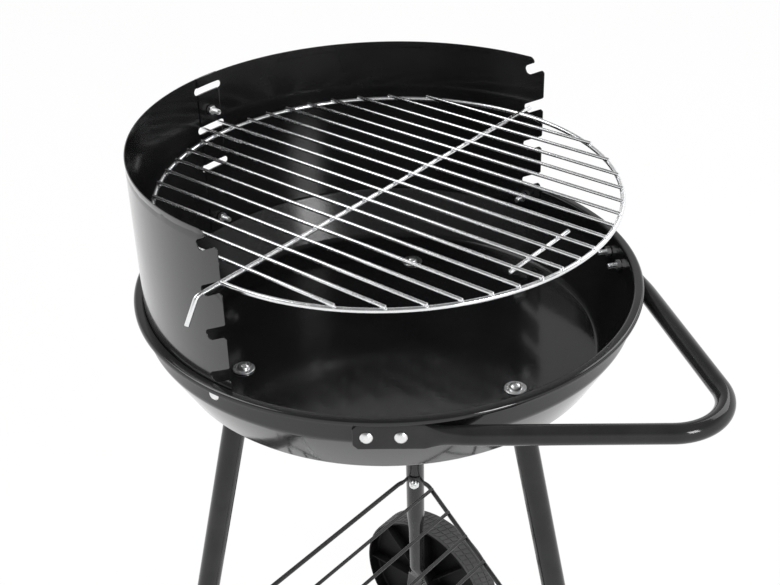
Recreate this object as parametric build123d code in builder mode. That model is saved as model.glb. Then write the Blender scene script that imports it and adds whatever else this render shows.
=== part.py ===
from build123d import *
import os
from math import asin, cos, degrees, radians, sin, sqrt, tan

# Round charcoal grill on three legs: a pressed bowl, a windshield of two slotted sheets,
# a lift-off grate, a tube handle, a wire shelf and two wheels.
# Millimetres, +Z up, +X towards the handle. The origin is on the floor, under the middle of the grill.
# Heights inside the grill are measured from the top of the rim, and angles from +X about the bowl's axis.

# Bowl
rim_height = 715.0
rim_radius = 220.0
rim_width = 9.0
lip_depth = 4.0
wall_depth = 24.0
bowl_depth = 67.0
floor_radius = 188.5
bowl_sheet = 1.2
fold_radius = 2.5

# Fasteners
small_bolt = 5.0
small_head = 10.0
small_head_height = 3.0
small_nut = 8.0
small_nut_height = 4.0
leg_bolt = 6.0
leg_head = 11.0
leg_head_height = 4.0
leg_washer = 19.5
washer_sheet = 1.5
bolt_tail = 8.0
head_crown = 0.7
hole_clearance = 0.2
thread_gap = 0.05
seat_gap = 0.05

# Windshield
shield_height = 133.0
shield_foot = 22.0
shield_sheet = 0.8
shield_gap = 0.3
overlap_gap = 0.1
shield_overlap = 25.0
shield_end = 18.5
tooth_setback = 11.6
rim_bolt_drop = 11.0
seam_bolt_height = 100.0

# Rows of notches and slots that carry the grate
row_count = 4
row_pitch = 38.3
top_row_height = 118.8
grate_row = 1
notch_width = 9.0
notch_slope = 28.0
notch_corner = 2.6
rod_play = 0.3
slot_length = 32.0
slot_height = 8.8
tip_lift_room = 1.7

# Cooking grate
rod_diameter = 6.0
rod_forward = 1.5
rod_reach = 220.0
rod_bend = 9.0
grip_length = 27.0
grip_angle = 57.0
ring_radius = 195.4
ring_wire = 5.0
grid_wire = 3.0
grid_count = 18
grid_pitch = 20.3
grid_overhang = 1.5
tip_reach = 0.5
weld_sink = 0.6
short_bar_forward = 164.0
short_bar_length = 81.0
short_bar_offset = -14.5
short_bar_diameter = 5.0

# Handle
handle_tube = 16.0
handle_wall = 1.2
handle_angle = 51.8
handle_drop = 16.8
handle_bend = 47.0
tab_free_side = 23.3
tab_tube_side = 30.5
tab_height = 22.0
tab_sheet = 4.0
tab_chamfer = 4.0
tab_taper = 40.0
tab_swell = 0.3
handle_bolt_pitch = 25.7

# Legs
leg_tube = 21.0
leg_wall = 1.2
leg_circle = 136.0
leg_angle = 120.0
front_foot_reach = 294.0
axle_back = 146.0
leg_spread = 425.0
plug_length = 25.0
leg_bolt_reach = 14.0
crimp_start = 58.0
crimp_end = 24.0
crimp_width = 30.0
crimp_sheet = 4.0
cap_wall = 2.0
cap_floor = 5.0
cap_length = 34.0

# Shelf
shelf_height = 327.0
shelf_wire = 5.0
cross_wire = 4.0
cross_pitch = 38.5
shelf_corner = 22.0
lug_width = 16.0
lug_sheet = 2.0
lug_margin = 8.0
lug_bolt_drop = 8.0
shelf_bolt_tail = 3.0

# Wheels
wheel_radius = 93.0
wheel_width = 36.0
wheel_offset = 13.0
wheel_shoulder = 3.0
tread_wall = 4.0
web_sheet = 5.0
rib_count = 8
rib_sheet = 3.0
rib_recess = 3.0
rib_bite = 1.0
hub_radius = 15.0
axle_diameter = 8.0
running_gap = 0.05
side_gap = 0.3
axle_washer = 18.0
axle_cap = 17.0
axle_cap_wall = 2.0
axle_cap_depth = 8.0

# Worked out from the sizes above
wall_radius = rim_radius - rim_width
wall_outside = wall_radius + bowl_sheet
bolt_hole = small_bolt / 2 + hole_clearance
outer_shield_radius = wall_radius - shield_gap
inner_shield_radius = outer_shield_radius - shield_sheet - overlap_gap
row_heights = [top_row_height - row * row_pitch for row in range(row_count)]
wire_above_rod = (rod_diameter + grid_wire) / 2 - weld_sink
ring_above_rod = wire_above_rod - (ring_wire + grid_wire) / 2 + weld_sink
bar_above_rod = wire_above_rod - (short_bar_diameter + grid_wire) / 2 + weld_sink
slot_above_rod = wire_above_rod + grid_wire / 2 + tip_lift_room - slot_height / 2
handle_line = wall_outside + seat_gap + tab_sheet / 2
handle_apex = handle_line / cos(radians(handle_angle))
bend_setback = handle_bend * (1 / cos(radians(handle_angle)) - 1)
handle_reach = handle_apex - bend_setback + handle_tube / 2
axis_x = (axle_back + wheel_radius - handle_reach) / 2
floor_under = rim_height - bowl_depth - bowl_sheet
axle_x = axis_x - axle_back
bowl_axis = Axis((axis_x, 0, 0), (0, 0, 1))

os.makedirs("parts", exist_ok=True)


# Planes of the grill


def level(height):
    """Horizontal plane through the bowl's axis, at a height above the rim."""
    return Plane(origin=(axis_x, 0, rim_height + height))


def outward(angle, radius, height, shift=0.0):
    """Plane that faces away from the bowl's axis, shifted sideways along its own X."""
    facing = Vector(cos(radians(angle)), sin(radians(angle)), 0)
    along = Vector(-facing.Y, facing.X, 0)
    spot = Vector(axis_x, 0, rim_height + height) + facing * radius + along * shift
    return Plane(origin=spot, x_dir=along, z_dir=facing)


def inward(angle, radius, height, shift=0.0):
    """Plane at the same spot as outward, that faces the bowl's axis."""
    seat = outward(angle, radius, height, shift)
    return Plane(origin=seat.origin, x_dir=seat.x_dir * -1, z_dir=seat.z_dir * -1)


def chord(radius, half_width):
    """Distance from the axis to the middle of a chord of a circle."""
    return sqrt(radius**2 - half_width**2)


# Fasteners


def bolt(seat, diameter, length, head, head_height):
    """One bolt: a domed head that stands on the seat and a shank that runs back through it."""
    with BuildPart() as made:
        with BuildSketch(seat):
            Circle(head / 2)
        extrude(amount=head_height)
        crown = made.faces().sort_by(Axis(seat.origin, seat.z_dir))[-1]
        fillet(crown.edges(), head_height * head_crown)
        with BuildSketch(seat):
            Circle(diameter / 2)
        extrude(amount=-length)
    return made.part


def nut(seat, diameter, across_flats, height):
    """One hexagon nut that stands on the seat."""
    with BuildPart() as made:
        with BuildSketch(seat):
            RegularPolygon(across_flats / 2, 6, major_radius=False)
            Circle(diameter / 2 + thread_gap, mode=Mode.SUBTRACT)
        extrude(amount=height)
    return made.part


def washer(seat, bore, outside, sheet):
    """One flat washer that lies on the seat."""
    with BuildPart() as made:
        with BuildSketch(seat):
            Circle(outside / 2)
            Circle(bore / 2 + thread_gap, mode=Mode.SUBTRACT)
        extrude(amount=sheet)
    return made.part


def export(part, name):
    """Label a finished piece and write it under its name."""
    part.label = name
    export_step(part, f"parts/{name}.step")


# Seats of the bolts

rear_side, back_side, front_side = 90, 180, 270
rim_bolt_angles = (rear_side, back_side, front_side)
rim_seats = [outward(angle, wall_outside, -rim_bolt_drop) for angle in rim_bolt_angles]
seam_seat = outward(back_side, outer_shield_radius, seam_bolt_height)
handle_sides = [
    (angle, shift)
    for angle in (handle_angle, -handle_angle)
    for shift in (-handle_bolt_pitch / 2, handle_bolt_pitch / 2)
]
handle_seats = [
    outward(angle, wall_outside + seat_gap + tab_sheet, -handle_drop, shift)
    for angle, shift in handle_sides
]
leg_angles = (0, leg_angle, -leg_angle)
leg_tops = [
    Vector(axis_x + leg_circle * cos(radians(angle)), leg_circle * sin(radians(angle)), floor_under)
    for angle in leg_angles
]
floor_seats = [Plane(origin=(top.X, top.Y, rim_height - bowl_depth)) for top in leg_tops]
leg_seats = [seat.offset(washer_sheet) for seat in floor_seats]

# Bowl: one pressing, turned about the bowl's axis

side_run = wall_radius - floor_radius
side_drop = bowl_depth - wall_depth
side_radius = (side_run**2 + side_drop**2) / (2 * side_run)
inner_turn = degrees(asin(side_drop / side_radius))
outer_turn = degrees(asin((side_drop + bowl_sheet) / (side_radius + bowl_sheet)))
profile_plane = Plane(origin=(axis_x, 0, rim_height), x_dir=(1, 0, 0), z_dir=(0, -1, 0))

with BuildPart() as bowl:
    with BuildSketch(profile_plane):
        with BuildLine():
            inside = JernArc((wall_radius, -wall_depth), (0, -1), side_radius, -inner_turn)
            outside = JernArc(
                (wall_outside, -wall_depth), (0, -1), side_radius + bowl_sheet, -outer_turn
            )
            FilletPolyline(
                (wall_radius, -wall_depth),
                (wall_radius, 0),
                (rim_radius, 0),
                (rim_radius, -lip_depth),
                radius=fold_radius,
            )
            Polyline(
                (rim_radius, -lip_depth),
                (rim_radius - bowl_sheet, -lip_depth),
                (rim_radius - bowl_sheet, -bowl_sheet),
                (wall_outside, -bowl_sheet),
                (wall_outside, -wall_depth),
            )
            Polyline(outside @ 1, (0, -bowl_depth - bowl_sheet), (0, -bowl_depth), inside @ 1)
        make_face()
    revolve(axis=bowl_axis)
    with Locations(*rim_seats):
        Hole(bolt_hole, depth=2 * rim_width)
    with Locations(*handle_seats):
        Hole(bolt_hole, depth=3 * rim_width)
    with Locations(*leg_seats):
        Hole(leg_bolt / 2 + hole_clearance, depth=2 * leg_bolt)
export(bowl.part, "bowl")

# Windshield: two curved sheets, the one on +Y inside the other where they overlap

slope_along = Vector(cos(radians(notch_slope)), sin(radians(notch_slope)))
slope_up = Vector(-slope_along.Y, slope_along.X)
rod_room = rod_diameter / 2 + rod_play
notch_run = 2 * (shield_end + notch_width)
tooth_x = shield_end - tooth_setback
blank_end = shield_end + notch_width
past_end = blank_end + notch_width


def notch_start(height):
    """Middle of the closed end of the notch whose rod rests at a height."""
    rest = Vector(rod_forward, height)
    return rest - slope_along * rod_room + slope_up * (notch_width / 2 - rod_room)


def notch_middle(height, forward):
    """Height of a notch's middle line, a distance forward of the bowl's axis."""
    start = notch_start(height)
    return start.Y + (forward - start.X) * tan(radians(notch_slope))


def windshield(radius, side, bolt_seats):
    """One sheet of the windshield: side is 1 for the sheet on +Y and -1 for the one on -Y."""
    with BuildPart() as sheet:
        with BuildSketch(level(-shield_foot)):
            Circle(radius)
            Circle(radius - shield_sheet, mode=Mode.SUBTRACT)
            with Locations((0, -side * (shield_overlap / 2 + radius))):
                Rectangle(4 * radius, 2 * radius, mode=Mode.SUBTRACT)
            with Locations((blank_end + radius, 0)):
                Rectangle(2 * radius, 4 * radius, mode=Mode.SUBTRACT)
        extrude(amount=shield_foot + shield_height)
        with BuildSketch(profile_plane) as free_end:
            with Locations((shield_end, -2 * shield_foot)):
                Rectangle(
                    past_end - shield_end, 2 * shield_height, align=(Align.MIN, Align.MIN)
                )
            for height in row_heights:
                start = notch_start(height)
                with Locations((start.X, start.Y)):
                    Rectangle(
                        notch_run,
                        notch_width,
                        rotation=notch_slope,
                        align=(Align.MIN, Align.CENTER),
                    )
            with BuildLine():
                Polyline(
                    (tooth_x, notch_middle(row_heights[0], tooth_x)),
                    (past_end, notch_middle(row_heights[0], past_end)),
                    (past_end, 2 * shield_height),
                    (tooth_x, 2 * shield_height),
                    close=True,
                )
            make_face()
            corners = free_end.vertices().filter_by_position(
                Axis.X, -notch_width, blank_end
            )
            corners = corners.filter_by_position(Axis.Y, -shield_foot, shield_height)
            fillet(corners, notch_corner)
        extrude(amount=-side * 2 * radius, mode=Mode.SUBTRACT)
        with BuildSketch(outward(back_side, 0, 0)):
            with Locations(*[(0, height + slot_above_rod) for height in row_heights]):
                SlotOverall(slot_length, slot_height)
        extrude(amount=2 * radius, mode=Mode.SUBTRACT)
        with Locations(*bolt_seats):
            Hole(bolt_hole, depth=2 * rim_width)
    return sheet.part


rear_sheet = windshield(inner_shield_radius, 1, [rim_seats[0], rim_seats[1], seam_seat])
front_sheet = windshield(outer_shield_radius, -1, [rim_seats[2], rim_seats[1], seam_seat])
export(rear_sheet, "windshield_rear")
export(front_sheet, "windshield_front")

# Bolts and nuts of the windshield

nut_corner = small_nut / sqrt(3)
rear_nut_radius = chord(inner_shield_radius - shield_sheet, nut_corner)
front_nut_radius = chord(outer_shield_radius - shield_sheet, nut_corner)
rim_nut_radii = (rear_nut_radius, rear_nut_radius, front_nut_radius)
nut_stack = small_nut_height + bolt_tail
rim_bolts = [
    bolt(seat, small_bolt, wall_outside - radius + nut_stack, small_head, small_head_height)
    for seat, radius in zip(rim_seats, rim_nut_radii)
]
seam_length = outer_shield_radius - rear_nut_radius + nut_stack
seam_bolt = bolt(seam_seat, small_bolt, seam_length, small_head, small_head_height)
rim_nuts = [
    nut(inward(angle, radius, -rim_bolt_drop), small_bolt, small_nut, small_nut_height)
    for angle, radius in zip(rim_bolt_angles, rim_nut_radii)
]
seam_nut = nut(
    inward(back_side, rear_nut_radius, seam_bolt_height), small_bolt, small_nut, small_nut_height
)

with BuildPart() as windshield_bolts:
    add(rim_bolts)
    add(seam_bolt)
export(windshield_bolts.part, "windshield_bolts")

with BuildPart() as windshield_nuts:
    add(rim_nuts)
    add(seam_nut)
export(windshield_nuts.part, "windshield_nuts")

# Cooking grate: ring, wires, support rod with its grip, and a short bar, welded into one piece

rod_height = row_heights[grate_row]
wire_height = rod_height + wire_above_rod
grid_middle = (grid_count - 1) / 2
grip_drop = grip_length * sin(radians(grip_angle))
grip_out = grip_length * cos(radians(grip_angle))
rod_plane = Plane(origin=(axis_x + rod_forward, 0, rim_height + rod_height))

with BuildPart() as cooking_grate:
    with BuildLine(rod_plane) as rod_line:
        FilletPolyline(
            (0, rod_reach, 0),
            (0, -rod_reach, 0),
            (0, -rod_reach - grip_out, -grip_drop),
            radius=rod_bend,
        )
    with BuildSketch(Plane(origin=rod_line.line @ 0, z_dir=rod_line.line % 0)):
        Circle(rod_diameter / 2)
    sweep()
    ring_axis = Axis(rod_plane.origin, (0, 0, 1))
    with BuildSketch(Plane(origin=rod_plane.origin, x_dir=(1, 0, 0), z_dir=(0, -1, 0))):
        with Locations((ring_radius, ring_above_rod)):
            Circle(ring_wire / 2)
    revolve(axis=ring_axis)
    for row in range(grid_count):
        across = (row - grid_middle) * grid_pitch
        half = chord(ring_radius, across) + grid_overhang
        middle_wire = abs(row - grid_middle) < 1
        tip = outer_shield_radius + tip_reach + rod_forward
        back = tip if middle_wire else half
        start = rod_plane.origin + Vector(-back, across, wire_above_rod)
        with BuildSketch(Plane(origin=start, x_dir=(0, 1, 0), z_dir=(1, 0, 0))):
            Circle(grid_wire / 2)
        extrude(amount=back + half)
    bar_start = Vector(
        axis_x + short_bar_forward, short_bar_offset, rim_height + rod_height + bar_above_rod
    )
    with BuildSketch(Plane(origin=bar_start, x_dir=(1, 0, 0), z_dir=(0, 1, 0))):
        Circle(short_bar_diameter / 2)
    extrude(amount=short_bar_length / 2, both=True)
export(cooking_grate.part, "cooking_grate")

# Handle: one bent tube with flattened ends

arm_along = Vector(sin(radians(handle_angle)), -cos(radians(handle_angle)), 0)
tab_length = tab_free_side + tab_tube_side
tab_shift = (tab_free_side - tab_tube_side) / 2
tab_seat = outward(handle_angle, wall_outside + seat_gap, -handle_drop, tab_shift)
touch = outward(handle_angle, handle_line, -handle_drop).origin
tab_end = touch + arm_along * tab_tube_side
tube_start = tab_end + arm_along * tab_taper
apex = Vector(axis_x + handle_apex, 0, rim_height - handle_drop)

with BuildPart() as handle:
    with BuildSketch(tab_seat) as tab_outline:
        Rectangle(tab_length, tab_height)
        chamfer(tab_outline.vertices().group_by(Axis.X)[-1], tab_chamfer)
    extrude(amount=tab_sheet)
    with BuildSketch(Plane(origin=tab_end, x_dir=(0, 0, 1), z_dir=arm_along)):
        Ellipse(tab_height / 2, tab_sheet / 2 + tab_swell)
    with BuildSketch(Plane(origin=tube_start, x_dir=(0, 0, 1), z_dir=arm_along)):
        Circle(handle_tube / 2)
    loft()
    mirror(about=Plane.XZ)
    with BuildLine() as handle_path:
        FilletPolyline(
            tube_start, apex, Vector(tube_start.X, -tube_start.Y, tube_start.Z), radius=handle_bend
        )
    with BuildSketch(Plane(origin=tube_start, x_dir=(0, 0, 1), z_dir=arm_along)):
        Circle(handle_tube / 2)
        Circle(handle_tube / 2 - handle_wall, mode=Mode.SUBTRACT)
    sweep(path=handle_path.line)
    with Locations(*handle_seats):
        Hole(bolt_hole, depth=2 * tab_sheet)
export(handle.part, "handle")

handle_nut_seat = chord(wall_radius, handle_bolt_pitch / 2 + nut_corner)
handle_grip = wall_outside + seat_gap + tab_sheet - handle_nut_seat
handle_bolt_list = [
    bolt(seat, small_bolt, handle_grip + nut_stack, small_head, small_head_height)
    for seat in handle_seats
]
handle_nut_list = [
    nut(inward(angle, handle_nut_seat, -handle_drop, shift), small_bolt, small_nut, small_nut_height)
    for angle, shift in handle_sides
]

with BuildPart() as handle_bolts:
    add(handle_bolt_list)
export(handle_bolts.part, "handle_bolts")

with BuildPart() as handle_nuts:
    add(handle_nut_list)
export(handle_nuts.part, "handle_nuts")

# Legs: one with a foot in front, two with flattened ends for the axle

front_foot = Vector(axis_x + front_foot_reach, 0, 0)
axle_ends = [Vector(axle_x, side * leg_spread / 2, wheel_radius) for side in (1, -1)]
leg_feet = [front_foot] + axle_ends
leg_lines = [(foot - top).normalized() for top, foot in zip(leg_tops, leg_feet)]
floor_plane = Plane.XY.offset(floor_under)


def leg_point(leg, height):
    """Point on a leg's centre line at a height above the floor."""
    line = leg_lines[leg]
    return leg_tops[leg] + line * ((height - leg_tops[leg].Z) / line.Z)


def leg_plane(leg, along):
    """Plane across a leg, a distance down from its top."""
    return Plane(origin=leg_tops[leg] + leg_lines[leg] * along, x_dir=(1, 0, 0), z_dir=leg_lines[leg])


def lug_plane(leg, height):
    """Plane that touches a leg's inner side at a height and faces the middle of the grill."""
    spot = leg_point(leg, height)
    to_axis = Vector(axis_x - spot.X, -spot.Y, 0).normalized()
    line = leg_lines[leg]
    facing = (to_axis - line * to_axis.dot(line)).normalized()
    along = Vector(-to_axis.Y, to_axis.X, 0)
    return Plane(origin=spot + facing * (leg_tube / 2 + seat_gap), x_dir=along, z_dir=facing)


shelf_bolt_height = shelf_height - lug_bolt_drop
lug_planes = [lug_plane(leg, shelf_bolt_height) for leg in range(len(leg_angles))]
shelf_seats = [plane.offset(lug_sheet) for plane in lug_planes]
leg_bore = leg_tube / 2 - leg_wall
top_overrun = leg_tube
front_length = (leg_feet[0] - leg_tops[0]).length

with BuildPart() as leg_front:
    with BuildSketch(leg_plane(0, -top_overrun)):
        Circle(leg_tube / 2)
        Circle(leg_bore, mode=Mode.SUBTRACT)
    extrude(amount=front_length + 2 * top_overrun)
    split(bisect_by=floor_plane, keep=Keep.BOTTOM)
    split(bisect_by=Plane.XY.offset(cap_floor), keep=Keep.TOP)
    with Locations(shelf_seats[0]):
        Hole(bolt_hole, depth=2 * leg_tube)
export(leg_front.part, "leg_front")


def wheel_leg(leg):
    """One leg that carries the axle: a tube whose lower end is pressed flat."""
    foot, line = leg_feet[leg], leg_lines[leg]
    flat_line = Vector(line.X, 0, line.Z).normalized()
    tube_length = (foot - leg_tops[leg]).length - crimp_start
    flat_top = foot - flat_line * crimp_end
    with BuildPart() as made:
        with BuildSketch(leg_plane(leg, -top_overrun)):
            Circle(leg_tube / 2)
            Circle(leg_bore, mode=Mode.SUBTRACT)
        extrude(amount=tube_length + top_overrun)
        split(bisect_by=floor_plane, keep=Keep.BOTTOM)
        with BuildSketch(leg_plane(leg, tube_length)):
            Circle(leg_tube / 2)
        with BuildSketch(Plane(origin=flat_top, x_dir=(1, 0, 0), z_dir=flat_line)):
            Ellipse(crimp_width / 2, crimp_sheet / 2 + tab_swell)
        loft()
        with BuildSketch(Plane(origin=(foot + flat_top) / 2, x_dir=flat_line, z_dir=(0, 1, 0))):
            SlotCenterToCenter(crimp_end, crimp_width)
        extrude(amount=crimp_sheet / 2, both=True)
        with Locations(Plane(origin=foot, z_dir=(0, 1, 0)).offset(crimp_sheet)):
            Hole(axle_diameter / 2 + running_gap, depth=2 * crimp_sheet)
        with Locations(shelf_seats[leg]):
            Hole(bolt_hole, depth=2 * leg_tube)
    return made.part


export(wheel_leg(1), "leg_rear_right")
export(wheel_leg(2), "leg_rear_left")


def leg_plug(leg):
    """Threaded plug in the top of a leg, cut level with the leg under the bowl's floor."""
    with BuildPart() as made:
        with BuildSketch(leg_plane(leg, -top_overrun)):
            Circle(leg_bore - seat_gap)
        extrude(amount=plug_length + top_overrun)
        split(bisect_by=floor_plane, keep=Keep.BOTTOM)
        with Locations(leg_seats[leg]):
            Hole(leg_bolt / 2 + thread_gap, depth=washer_sheet + bowl_sheet + leg_bolt_reach + seat_gap)
    return made.part


plug_list = [leg_plug(leg) for leg in range(len(leg_angles))]
leg_bolt_length = washer_sheet + bowl_sheet + leg_bolt_reach
leg_bolt_list = [
    bolt(seat, leg_bolt, leg_bolt_length, leg_head, leg_head_height) for seat in leg_seats
]
leg_washer_list = [washer(seat, leg_bolt, leg_washer, washer_sheet) for seat in floor_seats]

with BuildPart() as leg_plugs:
    add(plug_list)
export(leg_plugs.part, "leg_plugs")

with BuildPart() as leg_bolts:
    add(leg_bolt_list)
export(leg_bolts.part, "leg_bolts")

with BuildPart() as leg_washers:
    add(leg_washer_list)
export(leg_washers.part, "leg_washers")

# Foot cap of the front leg, cut flat where it stands on the floor

cap_plane = leg_plane(0, front_length - cap_length)

with BuildPart() as leg_room:
    with BuildSketch(cap_plane):
        Circle(leg_tube / 2 + seat_gap)
    extrude(amount=2 * cap_length)
    split(bisect_by=Plane.XY.offset(cap_floor - seat_gap), keep=Keep.TOP)

with BuildPart() as foot_cap:
    with BuildSketch(cap_plane):
        Circle(leg_tube / 2 + cap_wall)
    extrude(amount=2 * cap_length)
    split(bisect_by=Plane.XY, keep=Keep.TOP)
    add(leg_room.part, mode=Mode.SUBTRACT)
export(foot_cap.part, "foot_cap")

# Shelf: a rounded triangle of wire with cross wires, and a lug at each leg

shelf_plane = Plane(origin=(axis_x, 0, shelf_height))


def corner_centre(leg):
    """Centre of the frame's rounded corner that touches a leg's lug, in the shelf's plane."""
    spot = leg_point(leg, shelf_height)
    to_axis = Vector(axis_x - spot.X, -spot.Y, 0).normalized()
    lean = to_axis.dot(lug_planes[leg].z_dir)
    reach = (leg_tube / 2 + seat_gap + lug_sheet + shelf_wire / 2 - weld_sink) / lean + shelf_corner
    centre = spot + to_axis * reach
    return Vector(centre.X - axis_x, centre.Y)


front_corner, rear_corner, other_corner = [corner_centre(leg) for leg in range(len(leg_angles))]
side_line = (rear_corner - front_corner).normalized()
side_point = front_corner + Vector(-side_line.Y, side_line.X) * -shelf_corner
rear_edge = rear_corner.X - shelf_corner
cross_height = (shelf_wire + cross_wire) / 2 - weld_sink
front_edge = front_corner.X + shelf_corner - cross_pitch / 2
cross_count = int((front_edge - rear_edge) / cross_pitch)

with BuildSketch(shelf_plane) as shelf_outline:
    with BuildLine():
        Polyline(front_corner, rear_corner, other_corner, close=True)
    make_face()
    offset(amount=shelf_corner, kind=Kind.ARC)
frame_line = shelf_outline.sketch.face().outer_wire()

with BuildPart() as shelf:
    with BuildSketch(Plane(origin=frame_line @ 0, z_dir=frame_line % 0)):
        Circle(shelf_wire / 2)
    sweep(path=frame_line)
    for row in range(1, cross_count + 1):
        forward = rear_edge + row * cross_pitch
        half = side_point.Y + (forward - side_point.X) * side_line.Y / side_line.X
        middle = shelf_plane.origin + Vector(forward, 0, cross_height)
        with BuildSketch(Plane(origin=middle, x_dir=(1, 0, 0), z_dir=(0, 1, 0))):
            Circle(cross_wire / 2)
        extrude(amount=half, both=True)
    for plane in lug_planes:
        lug_height = lug_margin + lug_bolt_drop + shelf_wire
        with BuildSketch(plane):
            with Locations((0, lug_height / 2 - lug_margin)):
                RectangleRounded(lug_width, lug_height, lug_sheet)
        extrude(amount=lug_sheet)
    with Locations(*shelf_seats):
        Hole(bolt_hole, depth=2 * lug_sheet)
export(shelf.part, "shelf")

shelf_bolt_length = lug_sheet + 2 * seat_gap + leg_tube + small_nut_height + shelf_bolt_tail
shelf_bolt_list = [
    bolt(seat, small_bolt, shelf_bolt_length, small_head, small_head_height) for seat in shelf_seats
]
shelf_nut_seats = [
    Plane(origin=plane.offset(-leg_tube - 2 * seat_gap).origin, x_dir=plane.x_dir, z_dir=plane.z_dir * -1)
    for plane in lug_planes
]
shelf_nut_list = [nut(seat, small_bolt, small_nut, small_nut_height) for seat in shelf_nut_seats]

with BuildPart() as shelf_bolts:
    add(shelf_bolt_list)
export(shelf_bolts.part, "shelf_bolts")

with BuildPart() as shelf_nuts:
    add(shelf_nut_list)
export(shelf_nuts.part, "shelf_nuts")

# Axle and wheels

washer_start = leg_spread / 2 + crimp_sheet / 2 + seat_gap
hub_start = washer_start + washer_sheet + side_gap
wheel_start = leg_spread / 2 + wheel_offset
wheel_end = wheel_start + wheel_width
cap_start = wheel_end + side_gap
axle_half = cap_start + axle_cap_depth - axle_cap_wall


def axle_plane(side, distance):
    """Plane across the axle on one side of the grill, that faces away from the middle."""
    return Plane(origin=(axle_x, side * distance, wheel_radius), x_dir=(side, 0, 0), z_dir=(0, side, 0))


with BuildPart() as axle:
    with BuildSketch(axle_plane(1, 0)):
        Circle(axle_diameter / 2)
    extrude(amount=axle_half, both=True)
export(axle.part, "axle")

axle_washer_list = [
    washer(axle_plane(side, washer_start), axle_diameter, axle_washer, washer_sheet)
    for side in (1, -1)
]

with BuildPart() as axle_washers:
    add(axle_washer_list)
export(axle_washers.part, "axle_washers")


def end_cap(side):
    """Push-on cap that keeps a wheel on the axle."""
    with BuildPart() as made:
        with BuildSketch(axle_plane(side, cap_start)):
            Circle(axle_cap / 2)
        extrude(amount=axle_cap_depth)
        crown = made.faces().sort_by(Axis((axle_x, 0, wheel_radius), (0, side, 0)))[-1]
        fillet(crown.edges(), axle_cap_depth / 2)
        with BuildSketch(axle_plane(side, cap_start)):
            Circle(axle_diameter / 2 + seat_gap)
        extrude(amount=axle_cap_depth - axle_cap_wall + seat_gap, mode=Mode.SUBTRACT)
    return made.part


axle_cap_list = [end_cap(side) for side in (1, -1)]

with BuildPart() as axle_caps:
    add(axle_cap_list)
export(axle_caps.part, "axle_caps")


def wheel(side):
    """One moulded wheel: tread, web with ribs on both faces, and a bored hub."""
    recess = (wheel_width - web_sheet) / 2
    dish_radius = wheel_radius - tread_wall
    rib_length = dish_radius - hub_radius + 2 * rib_bite
    with BuildPart() as made:
        with BuildSketch(axle_plane(side, wheel_start)):
            Circle(wheel_radius)
        extrude(amount=wheel_width)
        fillet(made.edges().filter_by(GeomType.CIRCLE), wheel_shoulder)
        for start in (wheel_start, wheel_end - recess):
            with BuildSketch(axle_plane(side, start)):
                Circle(dish_radius)
            extrude(amount=recess, mode=Mode.SUBTRACT)
        with BuildSketch(axle_plane(side, wheel_start + rib_recess)):
            with PolarLocations(hub_radius - rib_bite, rib_count):
                Rectangle(rib_length, rib_sheet, align=(Align.MIN, Align.CENTER))
        extrude(amount=wheel_width - 2 * rib_recess)
        with BuildSketch(axle_plane(side, hub_start)):
            Circle(hub_radius)
        extrude(amount=wheel_end - hub_start)
        with BuildSketch(axle_plane(side, hub_start)):
            Circle(axle_diameter / 2 + running_gap)
        extrude(amount=wheel_end - hub_start, mode=Mode.SUBTRACT)
    return made.part


export(wheel(1), "wheel_right")
export(wheel(-1), "wheel_left")
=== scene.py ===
"""Looks of a round charcoal grill with a slotted windshield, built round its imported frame."""

import logging
import math
from collections.abc import Callable
from dataclasses import dataclass
from enum import Enum

import bmesh
import bpy
from mathutils import Matrix, Vector


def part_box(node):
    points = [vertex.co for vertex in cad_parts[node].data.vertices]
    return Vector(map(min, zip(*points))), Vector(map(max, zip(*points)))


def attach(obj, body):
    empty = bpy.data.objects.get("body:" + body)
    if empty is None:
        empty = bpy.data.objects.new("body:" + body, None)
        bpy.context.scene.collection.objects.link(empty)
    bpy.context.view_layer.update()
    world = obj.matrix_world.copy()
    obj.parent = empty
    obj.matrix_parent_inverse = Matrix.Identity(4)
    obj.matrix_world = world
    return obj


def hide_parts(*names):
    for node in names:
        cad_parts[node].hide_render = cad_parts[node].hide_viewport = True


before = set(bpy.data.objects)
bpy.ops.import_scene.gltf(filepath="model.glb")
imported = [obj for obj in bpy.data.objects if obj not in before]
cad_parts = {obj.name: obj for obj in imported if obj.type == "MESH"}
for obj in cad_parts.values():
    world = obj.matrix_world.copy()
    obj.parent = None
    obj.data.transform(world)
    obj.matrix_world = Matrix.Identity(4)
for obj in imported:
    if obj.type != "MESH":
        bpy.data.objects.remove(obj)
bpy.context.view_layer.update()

log = logging.getLogger("grill")
UP = Vector((0.0, 0.0, 1.0))
SHARP_ANGLE = math.radians(35)
SAME_POINT = 1e-7
SEAT_GAP = 0.00005


class Body(Enum):
    """Bodies of the frame that pieces ride on."""

    FRAME = "frame"
    GRATE = "grate"
    WHEEL_RIGHT = "wheel_right"
    WHEEL_LEFT = "wheel_left"


class Slot(Enum):
    """Names of material slots."""

    ENAMEL = "enamel_black"
    TUBE = "tube_black"
    WIRE = "wire_black"
    CHROME = "chrome"
    ZINC = "zinc"
    WHEEL = "wheel_plastic"
    CAP = "cap_plastic"


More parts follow.
